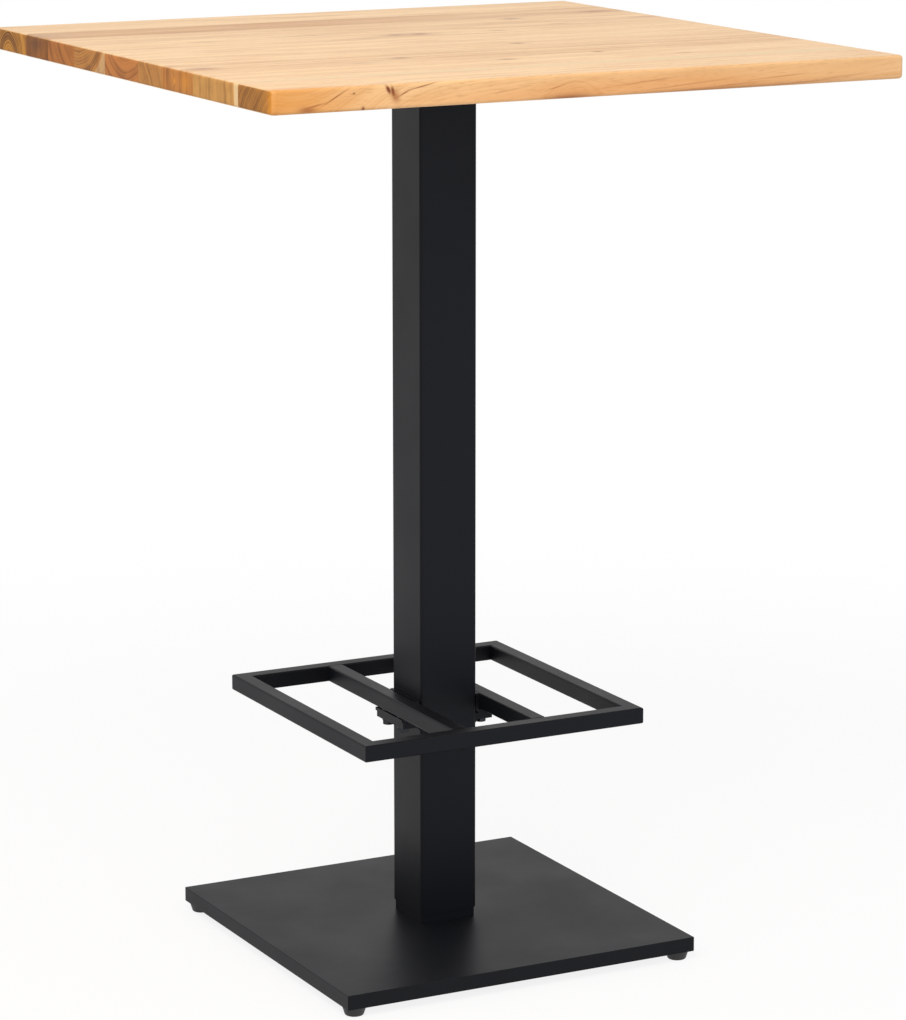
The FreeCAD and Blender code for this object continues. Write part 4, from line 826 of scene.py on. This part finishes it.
def soft_lamp(name, place, aim, size, power, colour):
    """Square soft box at place, turned to aim; lengths in metres."""
    light = bpy.data.lights.new(name, "AREA")
    light.shape = "SQUARE"
    light.size = size
    light.energy = power
    light.color = linear(colour)[:3]
    lamp = bpy.data.objects.new(name, light)
    lamp.location = place
    lamp.rotation_mode = "QUATERNION"
    lamp.rotation_quaternion = (Vector(aim) - Vector(place)).to_track_quat("-Z", "Y")
    lamp.visible_camera = False
    bpy.context.scene.collection.objects.link(lamp)


class PUBTABLE_OT_studio(bpy.types.Operator):
    """Set up the floor, the surroundings, the lamps and the camera"""
    bl_idname = "pubtable.studio"
    bl_label = "Studio"

    def execute(self, context):
        scene = context.scene
        settings = scene.pub_table_studio
        turns = [2 * math.pi * step / FLOOR_SIDES for step in range(FLOOR_SIDES)]
        rim = [(settings.floor_radius * math.cos(angle), settings.floor_radius * math.sin(angle), 0.0)
               for angle in turns]
        mesh = bpy.data.meshes.new("studio_floor")
        mesh.from_pydata(rim, [], [tuple(range(FLOOR_SIDES))])
        mesh.materials.append(pale_floor(settings))
        floor = bpy.data.objects.new("studio_floor", mesh)
        scene.collection.objects.link(floor)
        white_surroundings(scene, settings)
        low, high = CAD_BOX
        middle = (low + high) / 2
        soft_lamp("key_softbox", place=(-1.6, -2.0, 3.2), aim=middle, size=2.2,
                  power=settings.key_power, colour="#FFFAF2")
        soft_lamp("side_softbox", place=(-2.6, 1.6, 1.3), aim=middle, size=1.8,
                  power=settings.side_power, colour="#FFF6E8")
        soft_lamp("fill_softbox", place=(0.95, -2.0, 0.30), aim=(0, 0, 0.2), size=0.6,
                  power=settings.fill_power, colour="#A9C6FF")

        lens = bpy.data.cameras.new("studio_camera")
        lens.lens = settings.camera_lens
        camera = bpy.data.objects.new("studio_camera", lens)
        side = settings.camera_side
        camera.location = (math.sin(side) * settings.camera_distance,
                           -math.cos(side) * settings.camera_distance, settings.camera_height)
        camera.rotation_euler = (math.pi / 2 - settings.camera_pitch, 0, side + settings.camera_turn)
        scene.collection.objects.link(camera)
        scene.camera = camera
        scene.view_settings.view_transform = "Standard"
        return {"FINISHED"}


class PUBTABLE_PT_panel(bpy.types.Panel):
    """Buttons for each step and the sizes and colours of the finishes"""
    bl_idname = "PUBTABLE_PT_panel"
    bl_label = "Pub table"
    bl_space_type = "VIEW_3D"
    bl_region_type = "UI"
    bl_category = "Pub table"

    def draw(self, context):
        for operator in OPERATORS:
            self.layout.operator(operator.bl_idname)
        for group, attribute in GROUPS.items():
            settings = getattr(context.scene, attribute)
            box = self.layout.box()
            box.label(text=group.__doc__)
            for name in group.__annotations__:
                box.prop(settings, name)


GROUPS = {
    PubTableWood: "pub_table_wood",
    PubTableSteel: "pub_table_steel",
    PubTableStudio: "pub_table_studio",
}
OPERATORS = [
    PUBTABLE_OT_wood_top,
    PUBTABLE_OT_steelwork,
    PUBTABLE_OT_fasteners,
    PUBTABLE_OT_glides,
    PUBTABLE_OT_studio,
]


def register():
    """Add the settings, the operators and the panel to Blender."""
    for group, attribute in GROUPS.items():
        bpy.utils.register_class(group)
        setattr(bpy.types.Scene, attribute, PointerProperty(type=group))
    for operator in OPERATORS:
        bpy.utils.register_class(operator)
    bpy.utils.register_class(PUBTABLE_PT_panel)


def unregister():
    """Take them out again."""
    bpy.utils.unregister_class(PUBTABLE_PT_panel)
    for operator in reversed(OPERATORS):
        bpy.utils.unregister_class(operator)
    for group, attribute in GROUPS.items():
        delattr(bpy.types.Scene, attribute)
        bpy.utils.unregister_class(group)


def main():
    """Finish the table and set up its studio."""
    register()
    bpy.ops.pubtable.wood_top()
    bpy.ops.pubtable.steelwork()
    bpy.ops.pubtable.fasteners()
    bpy.ops.pubtable.glides()
    bpy.ops.pubtable.studio()


if __name__ == "__main__":
    main()
